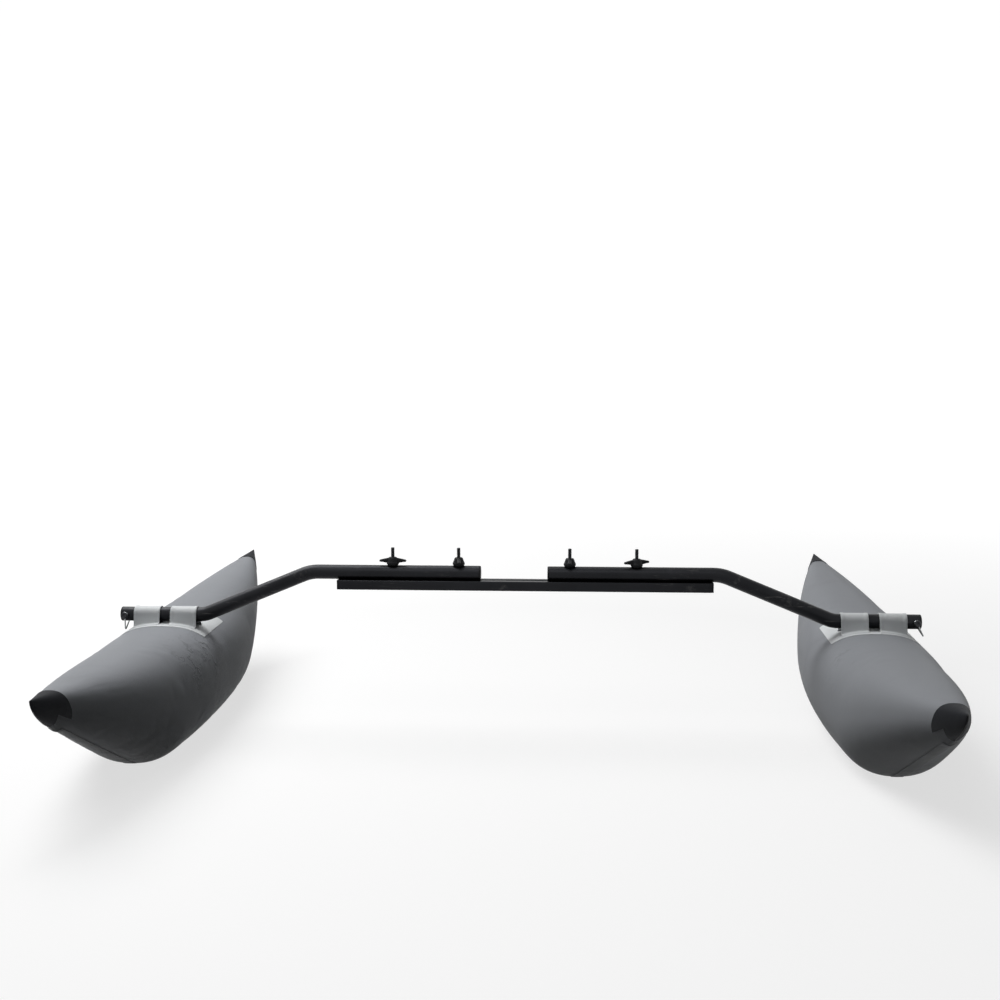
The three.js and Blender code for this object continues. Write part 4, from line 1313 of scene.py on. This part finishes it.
class ClampsOperator(bpy.types.Operator):
    """Builds the T bolts, washers and wing knobs that clamp the arms on the rail"""

    bl_idname = "outrigger.clamps"
    bl_label = "Clamps"

    def execute(self, context):
        hardware = context.scene.outrigger_hardware
        knob = self.wing_knob(hardware)
        washer = self.washer(hardware)
        steel, plastic = finish_of("Dark Steel"), finish_of("Black Plastic")
        for side in SIDES:
            for place in ("inner", "outer"):
                name = side + "_" + place
                stand = pivot(name + "_knob_turn")
                bolt = self.t_bolt(hardware, name)
                dress(bolt, side + "_arm", "dark_steel", steel, name + "_t_bolt")
                low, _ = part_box(name + "_washer")
                seat = Matrix.Translation((stand.x, stand.y, low.z))
                ring = copied(washer, name + "_flat_washer", seat)
                dress(ring, side + "_arm", "black_plastic", plastic, name + "_washer")
                turn = Matrix.Rotation(self.turn_of(hardware, name), 4, "Z")
                wings = copied(knob, name + "_knob", Matrix.Translation(stand) @ turn)
                dress(wings, name + "_knob", "black_plastic", plastic, name + "_wing_knob")
        for piece in (knob, washer):
            bpy.data.objects.remove(piece)
        return {"FINISHED"}

    def turn_of(self, hardware, name):
        """How far a knob is turned on its stud at rest, read from the CAD node's corners."""
        centre = pivot(name + "_knob_turn")
        corners = [v.co for v in frame["nodes"][name + "_wing_knob"].data.vertices]
        near, far = hardware.wing_thickness * 1.4, hardware.knob_span * 0.49

        def reach_squared(corner):
            return (corner.x - centre.x) ** 2 + (corner.y - centre.y) ** 2

        best = max(corners, key=reach_squared)
        tips = [corner for corner in corners
                if (corner - best).length < near and reach_squared(corner) > far**2]
        middle = sum(tips, Vector()) / len(tips)
        return math.atan2(middle.y - centre.y, middle.x - centre.x)

    def t_bolt(self, hardware, name):
        """A T head with a threaded stud, cut to the CAD bolt's box."""
        low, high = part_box(name + "_t_bolt")
        centre = pivot(name + "_knob_turn")
        radius, deep = hardware.stud_diameter / 2, hardware.thread_depth
        pitch, per_turn, sides = hardware.thread_pitch, 6, 24
        head_top = low.z + 0.005
        thread_from = centre.z - 0.004
        steps = int((high.z - 0.0006 - thread_from) / pitch * per_turn)
        rings = []
        for z in (head_top - 0.002, thread_from - 0.0008):
            rings.append((z, [radius - 0.0001] * sides))
        for i in range(steps + 1):
            z = thread_from + pitch * i / per_turn
            row = []
            for k in range(sides):
                phase = (i / per_turn - k / sides) % 1.0
                crest = min(abs(2 * phase - 1) * 1.35, 1.0)
                row.append(radius - deep * (1 - crest))
            rings.append((z, row))
        rings.append((high.z - 0.0003, [radius - deep * 0.9] * sides))
        rings.append((high.z, [radius - deep * 1.6] * sides))
        points = []
        for z, row in rings:
            for k, reach in enumerate(row):
                turn = 2 * math.pi * k / sides
                x, y = centre.x + reach * math.cos(turn), centre.y + reach * math.sin(turn)
                points.append((x, y, z))
        faces = ring_walls(len(rings), sides)
        stud = shaded(new_piece(name + "_stud_bolt", points, faces), 50)
        head = rounded(box_cutter(low, (high.x, high.y, head_top)), 0.0008, 2)
        return shaded(combined(stud, head, "UNION"), 40)

    def washer(self, hardware):
        bore, rim, thick, edge = hardware.stud_diameter / 2 + CLEARANCE, 0.012, 0.0015, 0.0003
        profile = [
            (bore, edge), (bore + edge, 0), (rim - edge, 0), (rim, edge), (rim, thick - edge),
            (rim - edge, thick), (bore + edge, thick), (bore, thick - edge), (bore, edge),
        ]
        return shaded(turned("washer", profile, hardware.turned_sides), 35)

    def wing_knob(self, hardware):
        """A moulded knob: a skirted hub with two wings, run together by a fine remesh."""
        tall, neck = hardware.knob_height, hardware.neck_diameter / 2
        hub = turned("hub", [
            (0, 0), (neck - 0.0008, 0), (neck, 0.0008), (neck, 0.0045), (neck - 0.001, 0.006),
            (0.0118, 0.0078), (0.0108, 0.0105), (0.0099, 0.0135), (0.0086, 0.0158),
            (0.0075, tall), (0, tall),
        ], hardware.turned_sides)
        wing = self.wing(hardware)
        other = copied(wing, "wing_opposite", Matrix.Rotation(math.pi, 4, "Z"))
        knob = combined(combined(hub, wing, "UNION"), other, "UNION")
        remesh = knob.modifiers.new("Moulding", "REMESH")
        remesh.mode = "VOXEL"
        remesh.voxel_size = hardware.knob_rounding
        smooth = knob.modifiers.new("Softening", "SMOOTH")
        smooth.factor = 0.5
        smooth.iterations = 6
        settle(knob)
        thinner = knob.modifiers.new("Fewer faces", "DECIMATE")
        thinner.ratio = 0.3
        settle(knob)
        bore = hardware.stud_diameter + 2 * CLEARANCE
        return shaded(drilled(knob, (0, 0, 0), (0, 0, 1), bore), 45)

    def wing(self, hardware):
        """One wing, out from inside the hub to its rounded tip."""
        root, span, tall = 0.004, hardware.knob_span / 2, hardware.knob_height
        steps, sides, fullness = 24, 20, 0.6
        points = []
        for k in range(steps + 1):
            s = k / steps
            x = root + (span - root) * s
            top = tall - 0.0008 - 0.0054 * s**1.15
            bottom = 0.0024 + 0.0034 * eased(s)
            thin = 1 - (max(s - 0.93, 0) / 0.07) ** 2 * 0.4
            low = 1 - (max(s - 0.96, 0) / 0.04) ** 2 * 0.4
            half = hardware.wing_thickness / 2 * (1 - 0.2 * s) * thin
            middle, reach = (top + bottom) / 2, (top - bottom) / 2 * low
            for j in range(sides):
                turn = 2 * math.pi * j / sides
                across, upward = math.cos(turn), math.sin(turn)
                y = half * math.copysign(abs(across) ** fullness, across)
                z = middle + reach * math.copysign(abs(upward) ** fullness, upward)
                points.append((x, y, z))
        return new_piece("wing", points, ring_walls(steps + 1, sides))


class PinsOperator(bpy.types.Operator):
    """Builds the lock pins across the tube ends and their wire bails"""

    bl_idname = "outrigger.pins"
    bl_label = "Lock Pins"

    def execute(self, context):
        hardware = context.scene.outrigger_hardware
        pin = self.pin(hardware)
        bail = self.bail(hardware)
        dark, bright = finish_of("Dark Steel"), finish_of("Stainless Steel")
        for side in SIDES:
            place = sided(side) @ Matrix.Translation(pivot("right_bail_swing"))
            rod = copied(pin, side + "_cross_pin", place)
            dress(rod, side + "_arm", "dark_steel", dark, side + "_lock_pin")
            lean = Matrix.Rotation(-hardware.bail_lean if side == "right" else 0.0, 4, "Y")
            wire = copied(bail, side + "_wire_bail", place @ lean)
            dress(wire, side + "_bail", "stainless_steel", bright, side + "_pin_bail")
        for piece in (pin, bail):
            bpy.data.objects.remove(piece)
        return {"FINISHED"}

    def pin(self, hardware):
        """The pin along Y, its head on the aft side."""
        low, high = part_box("right_lock_pin")
        centre = pivot("right_bail_swing")
        head, tip = centre.y - low.y, centre.y - high.y
        shank, rim = hardware.pin_diameter / 2, (high.z - low.z) / 2
        foot = head - 0.004
        profile = [
            (0, tip), (shank - 0.0016, tip), (shank - 0.0006, tip + 0.0007),
            (shank, tip + 0.0018), (shank, foot), (rim - 0.0005, foot), (rim, foot + 0.0005),
            (rim, head - 0.0012), (rim - 0.0004, head - 0.0005), (rim - 0.0012, head),
            (0.0036, head), (0.003, head - 0.0003), (0.0024, head - 0.0011), (0, head - 0.0013),
        ]
        pin = turned("pin", profile, 40)
        return shaded(moved(pin, Matrix.Rotation(math.pi / 2, 4, "X")), 35)

    def bail(self, hardware):
        """One wire: an eye round each end of the pin and a bow below."""
        wire = hardware.bail_wire / 2
        eye_reach = hardware.pin_diameter / 2 + CLEARANCE + wire
        low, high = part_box("left_pin_bail")
        plane = (high.y - low.y) / 2 - wire
        head_eye = Vector((0, -plane, -eye_reach))
        corner = Vector((0, -plane, wire - hardware.bail_reach))
        shoulder = Vector((0, plane, wire - hardware.bail_short_reach))
        tip_eye = Vector((0, plane, -eye_reach))
        line = [head_eye, head_eye + Vector((0, 0, -0.004))]
        line += self.bend(head_eye, corner, shoulder, hardware.bail_corner)
        line += self.bend(corner, shoulder, tip_eye, hardware.bail_shoulder)
        line += [tip_eye]
        bow = swept("bail", line, wire, 16)
        for sign in (-1, 1):
            combined(bow, self.eye(sign * plane, eye_reach, wire, 16), "UNION")
        return shaded(bow, 50)

    def bend(self, before, corner, after, cut):
        """Points of a bend that cuts a corner between two straight runs."""
        start = corner + (before - corner).normalized() * cut
        end = corner + (after - corner).normalized() * cut
        points, steps = [], 12
        for k in range(steps + 1):
            s = k / steps
            points.append(start * (1 - s) ** 2 + corner * (2 * s * (1 - s)) + end * s**2)
        return points

    def eye(self, y, reach, radius, sides):
        """A closed ring of wire round the pin, in the plane across it at y."""
        points, steps = [], 40
        for i in range(steps):
            around = 2 * math.pi * i / steps
            place = Vector((reach * math.sin(around), y, reach * math.cos(around)))
            out = (place - Vector((0, y, 0))).normalized()
            for k in range(sides):
                turn = 2 * math.pi * k / sides
                rise = Vector((0, 1, 0)) * (radius * math.sin(turn))
                points.append(place + out * (radius * math.cos(turn)) + rise)
        return new_piece("eye", points, ring_walls(steps, sides, closed=True))


class FloatsOperator(bpy.types.Operator):
    """Builds the two inflated floats, with the skin blown up by a cloth simulation"""

    bl_idname = "outrigger.floats"
    bl_label = "Floats"

    def execute(self, context):
        sizes, fabric = context.scene.outrigger_float, context.scene.outrigger_fabric
        columns, stem_steps, body_steps = 72, 7, 40
        angles = -math.pi / 2 + 2 * math.pi * np.arange(columns) / columns
        places = float_places(sizes, stem_steps, body_steps)
        grid = float_grid(sizes, places, angles)
        swelling, wrinkles = np.zeros(grid.shape), np.zeros(grid.shape)
        swelling, wrinkles = self.blown_up(sizes, fabric, grid, places, angles)
        for number, side in enumerate(SIDES):
            slack = sizes.right_slack if side == "right" else sizes.left_slack
            full = grid + swelling * sizes.rounding + wrinkles * slack
            shaped = wrinkled(sizes, full, grid_normals(full), places, angles, number + 1, slack)
            skin = skin_piece(side + "_inflated_skin", shaped, sizes)
            # Where the skin is crumpled: its material raises fine creases there and paints shade
            # along them
            along = np.exp(-(((places + 0.13) / 0.11) ** 2))
            around = np.exp(-(((angles - 2.4) / 0.5) ** 2))
            crumple = np.append(np.outer(along, around).ravel(), [0, 0])
            painted(skin.data, CRUMPLE_MASK, crumple * slack)
            smooth = skin.modifiers.new("Smooth skin", "SUBSURF")
            smooth.levels = 1
            smooth.render_levels = 1
            settle(skin)
            self.open_port(skin)
            moved(skin, sided(side) @ Matrix.Translation(pivot("right_float_pitch")))
            shaded(skin, 60)
            finish = finish_of("Float Fabric")
            dress(skin, side + "_float", "grey_fabric", finish, side + "_float_skin")
        return {"FINISHED"}

    def blown_up(self, sizes, fabric, grid, places, angles):
        """The broad swelling and the wrinkles that the cloth simulation adds to the grid, held
        at the keel seam, the tips and the saddle.
        """
        piece = skin_piece("inflating", grid, sizes)
        seam = seam_distance(angles)
        reach = np.where(places < 0, sizes.aft_length, sizes.fore_length)
        from_tip = reach - np.abs(places)
        seam_hold, tip_hold = 0.012, sizes.stem_length * 0.7
        off_pad = np.maximum(-places - fabric.pad_aft, places - fabric.pad_fore)
        held = np.zeros(grid.shape[:2])
        held[:, seam < seam_hold] = 1
        held[from_tip < tip_hold, :] = 1
        held[(off_pad < 0.03)[:, None] & (seam > 0.62)[None, :]] = 1
        weights = np.concatenate([held.ravel(), [1, 1]])
        inflated(piece, weights, frames=16, pressure=5.0, slack=0.006, cap=0.004)
        points = np.array([vertex.co for vertex in piece.data.vertices])[:-2]
        points = points.reshape(grid.shape)
        bpy.data.objects.remove(piece)
        off_saddle = eased((off_pad - 0.01) / 0.2)[:, None]
        off_crown = eased((0.7 - seam) / 0.35)[None, :]
        off_tip = eased((from_tip - tip_hold) / 0.2)[:, None]
        blend = (off_tip * (1 - (1 - off_saddle) * (1 - off_crown)))[..., None]
        shift = points - grid
        swelling = evened(shift, 16)
        return swelling * blend, (shift - swelling) * blend

    def open_port(self, skin):
        """Cuts the hole that the valve's stem passes through, in the float's own frame."""
        hub = pivot("right_float_pitch")
        joint = JOINTS["right_valve_cap_turn"]
        centre, axis = Vector(joint["pos_m"]) - hub, Vector(joint["axis"])
        point, _ = cast(surface_of(skin), centre + axis * NEAR_PROBE, -axis)
        reach = 0.0105
        work = bmesh.new()
        work.from_mesh(skin.data)
        near = [face for face in work.faces
                if (face.calc_center_median() - point).length < reach]
        bmesh.ops.delete(work, geom=near, context="FACES")
        work.to_mesh(skin.data)
        work.free()


class PatchesOperator(bpy.types.Operator):
    """Builds the swallow-tailed tip patches and the tapes over the keel seams"""

    bl_idname = "outrigger.patches"
    bl_label = "Tip Patches and Tapes"

    def execute(self, context):
        sizes, fabric = context.scene.outrigger_float, context.scene.outrigger_fabric
        for side in SIDES:
            place, surface = drawn_surface(side)
            skin, body = side + "_inflated_skin", side + "_float"
            for end, sign in (("aft", -1), ("fore", 1)):
                name = side + "_" + end
                made = self.patch(sizes, fabric, surface, sign, name + "_swallow_patch")
                patch, cut, area = made
                moved(patch, place)
                finish = finish_of("Patch Fabric")
                dress(patch, body, "black_fabric", finish, name + "_tip_patch")
                tape, cut = self.tape(sizes, fabric, surface, sign, name + "_seam_tape")
                moved(tape, place)
                finish = finish_of("Tape Fabric")
                dress(tape, body, "tape_fabric", finish, name + "_keel_tape")
        return {"FINISHED"}

    def patch(self, sizes, fabric, surface, sign, name):
        """A patch wrapped round a tip, with its flat size and its cut area."""
        reach = sizes.fore_length if sign > 0 else sizes.aft_length
        steps, columns, tip_rows, spare = 34, 96, 6, 1.12
        from_tip = fabric.patch_point * spare * (np.arange(steps) / (steps - 1)) ** 1.5
        from_tip[0] = 0.0004
        places = sign * (reach - from_tip)
        angles = -math.pi / 2 + 2 * math.pi * np.arange(columns) / columns
        grid = float_grid(sizes, places, angles)
        normals = grid_normals(grid)
        lift = fabric.weld_gap
        points = []
        for row, row_normals in zip(grid, normals):
            for raw, normal in zip(row, row_normals):
                place, facing, _, _ = surface.find_nearest(Vector(raw))
                facing = facing if facing.dot(Vector(normal)) > 0 else -facing
                blend = (facing + Vector(normal)).normalized()
                raised = fabric.stem_seam if len(points) % columns == 0 else 0
                points.append(place + blend * (lift + raised))
        cap = Vector((0, sign * (reach + lift), sizes.tip_rise - sizes.tube_to_crown))
        points.append(cap)
        faces = grid_faces(steps, columns, True)
        for j in range(columns):
            faces.append((j, (j + 1) % columns, steps * columns))
        patch = new_piece(name, points, faces)
        flat = [(0.0, 0.0)] * len(points)
        for i in range(steps):
            for j in range(columns):
                x, y, z = grid[i, j]
                flat[i * columns + j] = (float(x + z), float(y))
        cloth_map(patch.data, flat)
        # Marks the seam's edge for the painted highlight in the patch's material
        seam = np.arange(len(points)) % columns == 0
        painted(patch.data, SEAM_HIGHLIGHT_MASK, seam & (np.arange(len(points)) > tip_rows * columns))
        self.cut_tail(patch, sizes, fabric, sign, reach)
        area = sum(face.area for face in patch.data.polygons)
        shell = patch.modifiers.new("Thickness", "SOLIDIFY")
        shell.thickness = fabric.patch_thickness
        shell.offset = 1
        shell.use_even_offset = False
        settle(patch)
        rim = [Vector(point) for point in grid[-1]]
        girth = sum((rim[j] - rim[j - 1]).length for j in range(columns))
        return shaded(patch, 50), (girth, fabric.patch_point), area

    def cut_tail(self, patch, sizes, fabric, sign, reach):
        """Cuts the patch to its side outline: a straight top edge and a notched tail."""
        def place(distance):
            return sign * (reach - distance)

        up_and_down = np.array([math.pi / 2, -math.pi / 2])
        crown, keel = float_grid(sizes, [place(fabric.patch_point)], up_and_down)[0]
        top, bottom = crown[2], keel[2]
        deep = top - bottom
        margin = 0.05
        past, high, low = place(-margin), top + margin, bottom - 0.005
        outline = [
            (past, low), (past, high),
            (place(fabric.patch_top), high), (place(fabric.patch_top), top),
            (place(fabric.patch_point), top - deep * fabric.patch_side),
            (place(fabric.patch_notch), top - deep * fabric.patch_apex),
            (place(fabric.patch_lobe), low),
        ]
        work = bmesh.new()
        work.from_mesh(patch.data)
        for (y0, z0), (y1, z1) in zip(outline[2:-1], outline[3:]):
            normal = Vector((0, z1 - z0, -(y1 - y0))).normalized()
            geometry = work.verts[:] + work.edges[:] + work.faces[:]
            bmesh.ops.bisect_plane(
                work, geom=geometry, plane_co=(0, y0, z0), plane_no=normal, dist=1e-7
            )

        def inside(y, z):
            found = False
            for (y0, z0), (y1, z1) in zip(outline, outline[1:] + outline[:1]):
                if (z0 > z) != (z1 > z) and y < (y1 - y0) * (z - z0) / (z1 - z0) + y0:
                    found = not found
            return found

        centres = [(face, face.calc_center_median()) for face in work.faces]
        spare = [face for face, centre in centres if not inside(centre.y, centre.z)]
        bmesh.ops.delete(work, geom=spare, context="FACES")
        work.to_mesh(patch.data)
        work.free()

    def tape(self, sizes, fabric, surface, sign, name):
        """A flat tape over the keel seam, with its flat size."""
        reach = sizes.fore_length if sign > 0 else sizes.aft_length
        run = fabric.tape_end - fabric.tape_start
        rows, columns = 67, 9

        def place(i, j):
            y = sign * (reach - fabric.tape_start - run * i / (rows - 1))
            return fabric.tape_width * (j / (columns - 1) - 0.5), y, -PROBE

        points, normals = cast_grid(surface, rows, columns, place, (0, 0, 1))
        tape = slab(name, points, normals, fabric.weld_gap, lambda i, j: fabric.tape_thickness)
        return tape, cut_size(points)


class SaddlesOperator(bpy.types.Operator):
    """Builds the saddle pads and the fabric sleeves round the tubes"""

    bl_idname = "outrigger.saddles"
    bl_label = "Pads and Sleeves"

    def execute(self, context):
        fabric, arm = context.scene.outrigger_fabric, context.scene.outrigger_arm
        light = finish_of("Light Fabric")
        for side in SIDES:
            place, surface = drawn_surface(side)
            body, pad_name = side + "_float", side + "_weld_pad"
            pad, pad_cut = self.pad(fabric, surface, pad_name)
            top = surface_of(pad)
            for where, sign in (("inner", -1), ("outer", 1)):
                name = side + "_" + where
                sleeve, cut = self.sleeve(fabric, arm, top, sign, name + "_strap")
                moved(sleeve, place)
                dress(sleeve, body, "light_fabric", light, name + "_sleeve")
            moved(pad, place)
            dress(pad, body, "light_fabric", light, side + "_saddle_pad")
        return {"FINISHED"}

    def pad(self, fabric, surface, name):
        """A pad with round corners and a pressed weld round its edge, with its flat size."""
        rows, columns = 57, 53
        pad_length = fabric.pad_aft + fabric.pad_fore
        middle = (fabric.pad_fore - fabric.pad_aft) / 2
        half_x, half_y, corner = fabric.pad_width / 2, pad_length / 2, fabric.pad_corner

        def place(i, j):
            x = half_x * (2 * j / (columns - 1) - 1)
            y = half_y * (2 * i / (rows - 1) - 1)
            over_x, over_y = abs(x) - half_x + corner, abs(y) - half_y + corner
            if over_x > 0 and over_y > 0:
                ease = max(over_x, over_y) / math.hypot(over_x, over_y)
                x = math.copysign(half_x - corner + over_x * ease, x)
                y = math.copysign(half_y - corner + over_y * ease, y)
            return x, y + middle, PROBE

        points, normals = cast_grid(surface, rows, columns, place, (0, 0, -1))
        band_i, band_j = fabric.weld_band / pad_length, fabric.weld_band / fabric.pad_width

        def thickness(i, j):
            edge = min(i / band_i, (1 - i) / band_i, j / band_j, (1 - j) / band_j)
            return fabric.pad_thickness * (0.72 if edge < 1 else 1.0)

        return slab(name, points, normals, fabric.weld_gap, thickness), cut_size(points)

    def sleeve(self, fabric, arm, pad_top, sign, name):
        """A strap over the tube, its legs down to the pad and its feet welded along it."""
        columns, half, hem_slope = 31, fabric.sleeve_thickness / 2, 0.0016
        centre = sign * fabric.sleeve_pitch / 2
        radius = arm.tube_diameter / 2 + fabric.sleeve_slack + half
        lower, upper = [], []
        for j in range(columns):
            x = centre + fabric.sleeve_width * (j / (columns - 1) - 0.5)
            edge = min(j, columns - 1 - j) * fabric.sleeve_width / (columns - 1)
            hem = fabric.hem_height * (1 - eased((edge - fabric.hem_width + 0.0012) / hem_slope))
            line = self.line(fabric, radius, half, pad_top, x)
            inside, outside = self.offset_lines(line, half, hem)
            lower.append(inside)
            upper.append(outside)
        low_grid, high_grid = list(zip(*lower)), list(zip(*upper))
        piece = between_grids(name, low_grid, high_grid, high_grid)
        return shaded(rounded(piece, 0.0004, 2, 60), 50), cut_size(high_grid)

    def line(self, fabric, radius, half, pad_top, x):
        """Middle line of the strap in a plane across the tube: foot, leg, wrap, leg, foot."""
        spread, foot, fold = fabric.foot_spread, fabric.foot_length, 0.004
        foot_steps, leg_steps, wrap_steps = 4, 4, 18

        def on_pad(y):
            ground, _ = cast(pad_top, (x, y, PROBE), (0, 0, -1))
            return ground.z + CLEARANCE + half

        leg_foot = Vector((-spread - half, on_pad(-spread) + 0.0035))
        turn = math.acos(min(radius / leg_foot.length, 1.0))
        touch = math.atan2(leg_foot.y, leg_foot.x) % (2 * math.pi) - turn
        side = []
        for k in range(foot_steps + 1):
            y = -spread - foot + (foot - fold) * k / foot_steps
            side.append(Vector((y, on_pad(y))))
        heel = on_pad(-spread - fold / 2)
        side.append(Vector((-spread - 0.0022, heel + 0.0006)))
        side.append(Vector((-spread - 0.0008, heel + 0.002)))
        contact = Vector((radius * math.cos(touch), radius * math.sin(touch)))
        start = Vector((-spread - 0.0002, leg_foot.y + 0.0004))
        for k in range(leg_steps + 1):
            side.append(start.lerp(contact, k / leg_steps))
        for k in range(1, wrap_steps + 1):
            turn = touch + (math.pi / 2 - touch) * k / wrap_steps
            side.append(Vector((radius * math.cos(turn), radius * math.sin(turn))))
        line = side + [Vector((-point.x, point.y)) for point in reversed(side[:-1])]
        for point in line[-foot_steps - 1:]:
            point.y = on_pad(point.x)
        return [Vector((x, point.x, point.y)) for point in line]

    def offset_lines(self, line, half, hem):
        """Both faces of a sleeve; its feet thin out to their pressed ends."""
        inside, outside, last, pressed = [], [], len(line) - 1, 0.35
        for i, point in enumerate(line):
            along = (line[min(i + 1, last)] - line[max(i - 1, 0)]).normalized()
            out = Vector((0, -along.z, along.y))
            full = min(min(i, last - i) / 4, 1.0)
            thick = 2 * (pressed + (1 - pressed) * full) - 1
            inside.append(point - out * half)
            outside.append(point + out * (half * thick + hem * full))
        return inside, outside


class ValvesOperator(bpy.types.Operator):
    """Builds the air valves: a welded disc with a stem, and a ribbed screw cap"""

    bl_idname = "outrigger.valves"
    bl_label = "Air Valves"

    def execute(self, context):
        hardware, fabric = context.scene.outrigger_hardware, context.scene.outrigger_fabric
        hub = pivot("right_float_pitch")
        plastic = finish_of("Black Plastic")
        joint = JOINTS["right_valve_cap_turn"]
        axis = Vector(joint["axis"])
        form_point = self.form_point(hardware, Vector(joint["pos_m"]) - hub, axis)
        turn = Vector((0, 0, 1)).rotation_difference(axis).to_matrix().to_4x4()
        seat = Matrix.Translation(form_point) @ turn
        for side in SIDES:
            place, surface = drawn_surface(side)
            body = self.body(hardware, fabric, surface, form_point, axis, seat)
            body.name = side + "_valve_disc"
            moved(body, place)
            dress(body, side + "_float", "black_plastic", plastic, side + "_valve_body")
            cap = self.cap(hardware, side + "_screw_cap")
            moved(cap, place @ seat)
            dress(cap, side + "_valve_lid", "black_plastic", plastic, side + "_valve_cap")
        return {"FINISHED"}

    def form_point(self, hardware, centre, axis):
        """The place on the float's plain form where the valve's axis leaves it."""
        hub = pivot("right_float_pitch")
        corners = frame["nodes"]["right_valve_cap"].data.vertices
        top = max((corner.co - hub).dot(axis) for corner in corners)
        return centre + axis * (top - hardware.valve_height - centre.dot(axis))

    def body(self, hardware, fabric, surface, centre, axis, seat):
        """The welded disc follows the skin; the stem is a turned tube through it."""
        across = axis.cross(Vector((0, 1, 0))).normalized()
        ahead = across.cross(axis).normalized()
        sides, stem, port, rim = hardware.turned_sides, 0.013, 0.0145, hardware.valve_flange / 2
        rings = [
            (stem - 0.0005, 0.0016), (stem + 0.002, 0.0016), (0.0165, 0.0016), (0.019, 0.0016),
            (0.0212, 0.0016), (rim - 0.0005, 0.0009), (rim, 0.0006),
        ]
        lower, upper = [], []
        for radius, rise in rings:
            for k in range(sides):
                turn = 2 * math.pi * k / sides
                out = across * math.cos(turn) + ahead * math.sin(turn)
                start = centre + out * max(radius, port) + axis * NEAR_PROBE
                point, _ = cast(surface, start, -axis)
                spot = centre + out * radius
                base = spot + axis * (point - spot).dot(axis)
                lower.append(base + axis * fabric.weld_gap)
                upper.append(base + axis * (fabric.weld_gap + rise))
        disc = new_piece("disc", lower + upper, self.disc_faces(len(rings), sides))
        bore, end, top = 0.0085, -0.012, 0.0022
        profile = [
            (bore, end), (stem - 0.001, end), (stem, end + 0.001), (stem, top - 0.0008),
            (stem - 0.0006, top), (bore + 0.0006, top), (bore, top - 0.0006), (bore, end),
        ]
        tube = moved(turned("stem", profile, sides), seat)
        return shaded(combined(disc, tube, "UNION"), 35)

    def disc_faces(self, rows, sides):
        """Faces of a flat ring: its lower and upper sides and the walls of its hole and rim."""
        count = rows * sides
        faces = grid_faces(rows, sides, True) + grid_faces(rows, sides, True, count)
        last = (rows - 1) * sides
        for k in range(sides):
            n = (k + 1) % sides
            faces.append((k, n, n + count, k + count))
            faces.append((last + k, last + n, last + n + count, last + k + count))
        return faces

    def cap(self, hardware, name):
        """A lid with finger ribs and a dished top, its plug in the stem's bore."""
        rim, foot, top = hardware.valve_cap / 2, 0.0025, hardware.valve_height
        plug, end, ribs, rib_depth = 0.0082, -0.0045, 12, 0.0011
        rows = [
            (0, end, 0), (plug - 0.001, end, 0), (plug, end + 0.001, 0), (plug, foot, 0),
            (rim - 0.0008, foot, 0.3), (rim, foot + 0.0008, 1), (rim, top - 0.0016, 1),
            (rim - 0.0005, top - 0.0006, 0.6), (rim - 0.0015, top, 0.1), (rim - 0.0042, top, 0),
            (rim - 0.005, top - 0.0006, 0), (0, top - 0.0007, 0),
        ]

        def grooves(place, turn):
            return rows[place][2] * rib_depth * max(math.cos(ribs * turn), 0) ** 0.7

        profile = [(radius, height) for radius, height, _ in rows]
        return shaded(turned(name, profile, 72, grooves), 40)


OPERATORS = (
    StageOperator, RailOperator, ArmsOperator, ClampsOperator, PinsOperator,
    FloatsOperator, PatchesOperator, SaddlesOperator, ValvesOperator,
)


class OutriggerPanel(bpy.types.Panel):
    """Lists the outrigger's operators and sizes in the sidebar"""

    bl_idname = "VIEW3D_PT_outrigger"
    bl_label = "Kayak Outrigger"
    bl_space_type = "VIEW_3D"
    bl_region_type = "UI"
    bl_category = "Outrigger"

    def draw(self, context):
        for operator in OPERATORS:
            self.layout.operator(operator.bl_idname)
        for name, kind in GROUPS.items():
            box = self.layout.box()
            box.label(text=kind.__doc__)
            for key in kind.__annotations__:
                box.prop(getattr(context.scene, name), key)


def register():
    for kind in (*GROUPS.values(), *OPERATORS, OutriggerPanel):
        bpy.utils.register_class(kind)
    for name, kind in GROUPS.items():
        setattr(bpy.types.Scene, name, PointerProperty(type=kind))


def unregister():
    for name in GROUPS:
        delattr(bpy.types.Scene, name)
    for kind in reversed((*GROUPS.values(), *OPERATORS, OutriggerPanel)):
        bpy.utils.unregister_class(kind)


def main():
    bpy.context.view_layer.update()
    register()
    bpy.ops.outrigger.stage()
    bpy.ops.outrigger.rail()
    bpy.ops.outrigger.arms()
    bpy.ops.outrigger.clamps()
    bpy.ops.outrigger.pins()
    bpy.ops.outrigger.floats()
    bpy.ops.outrigger.patches()
    bpy.ops.outrigger.saddles()
    bpy.ops.outrigger.valves()


if __name__ == "__main__":
    main()
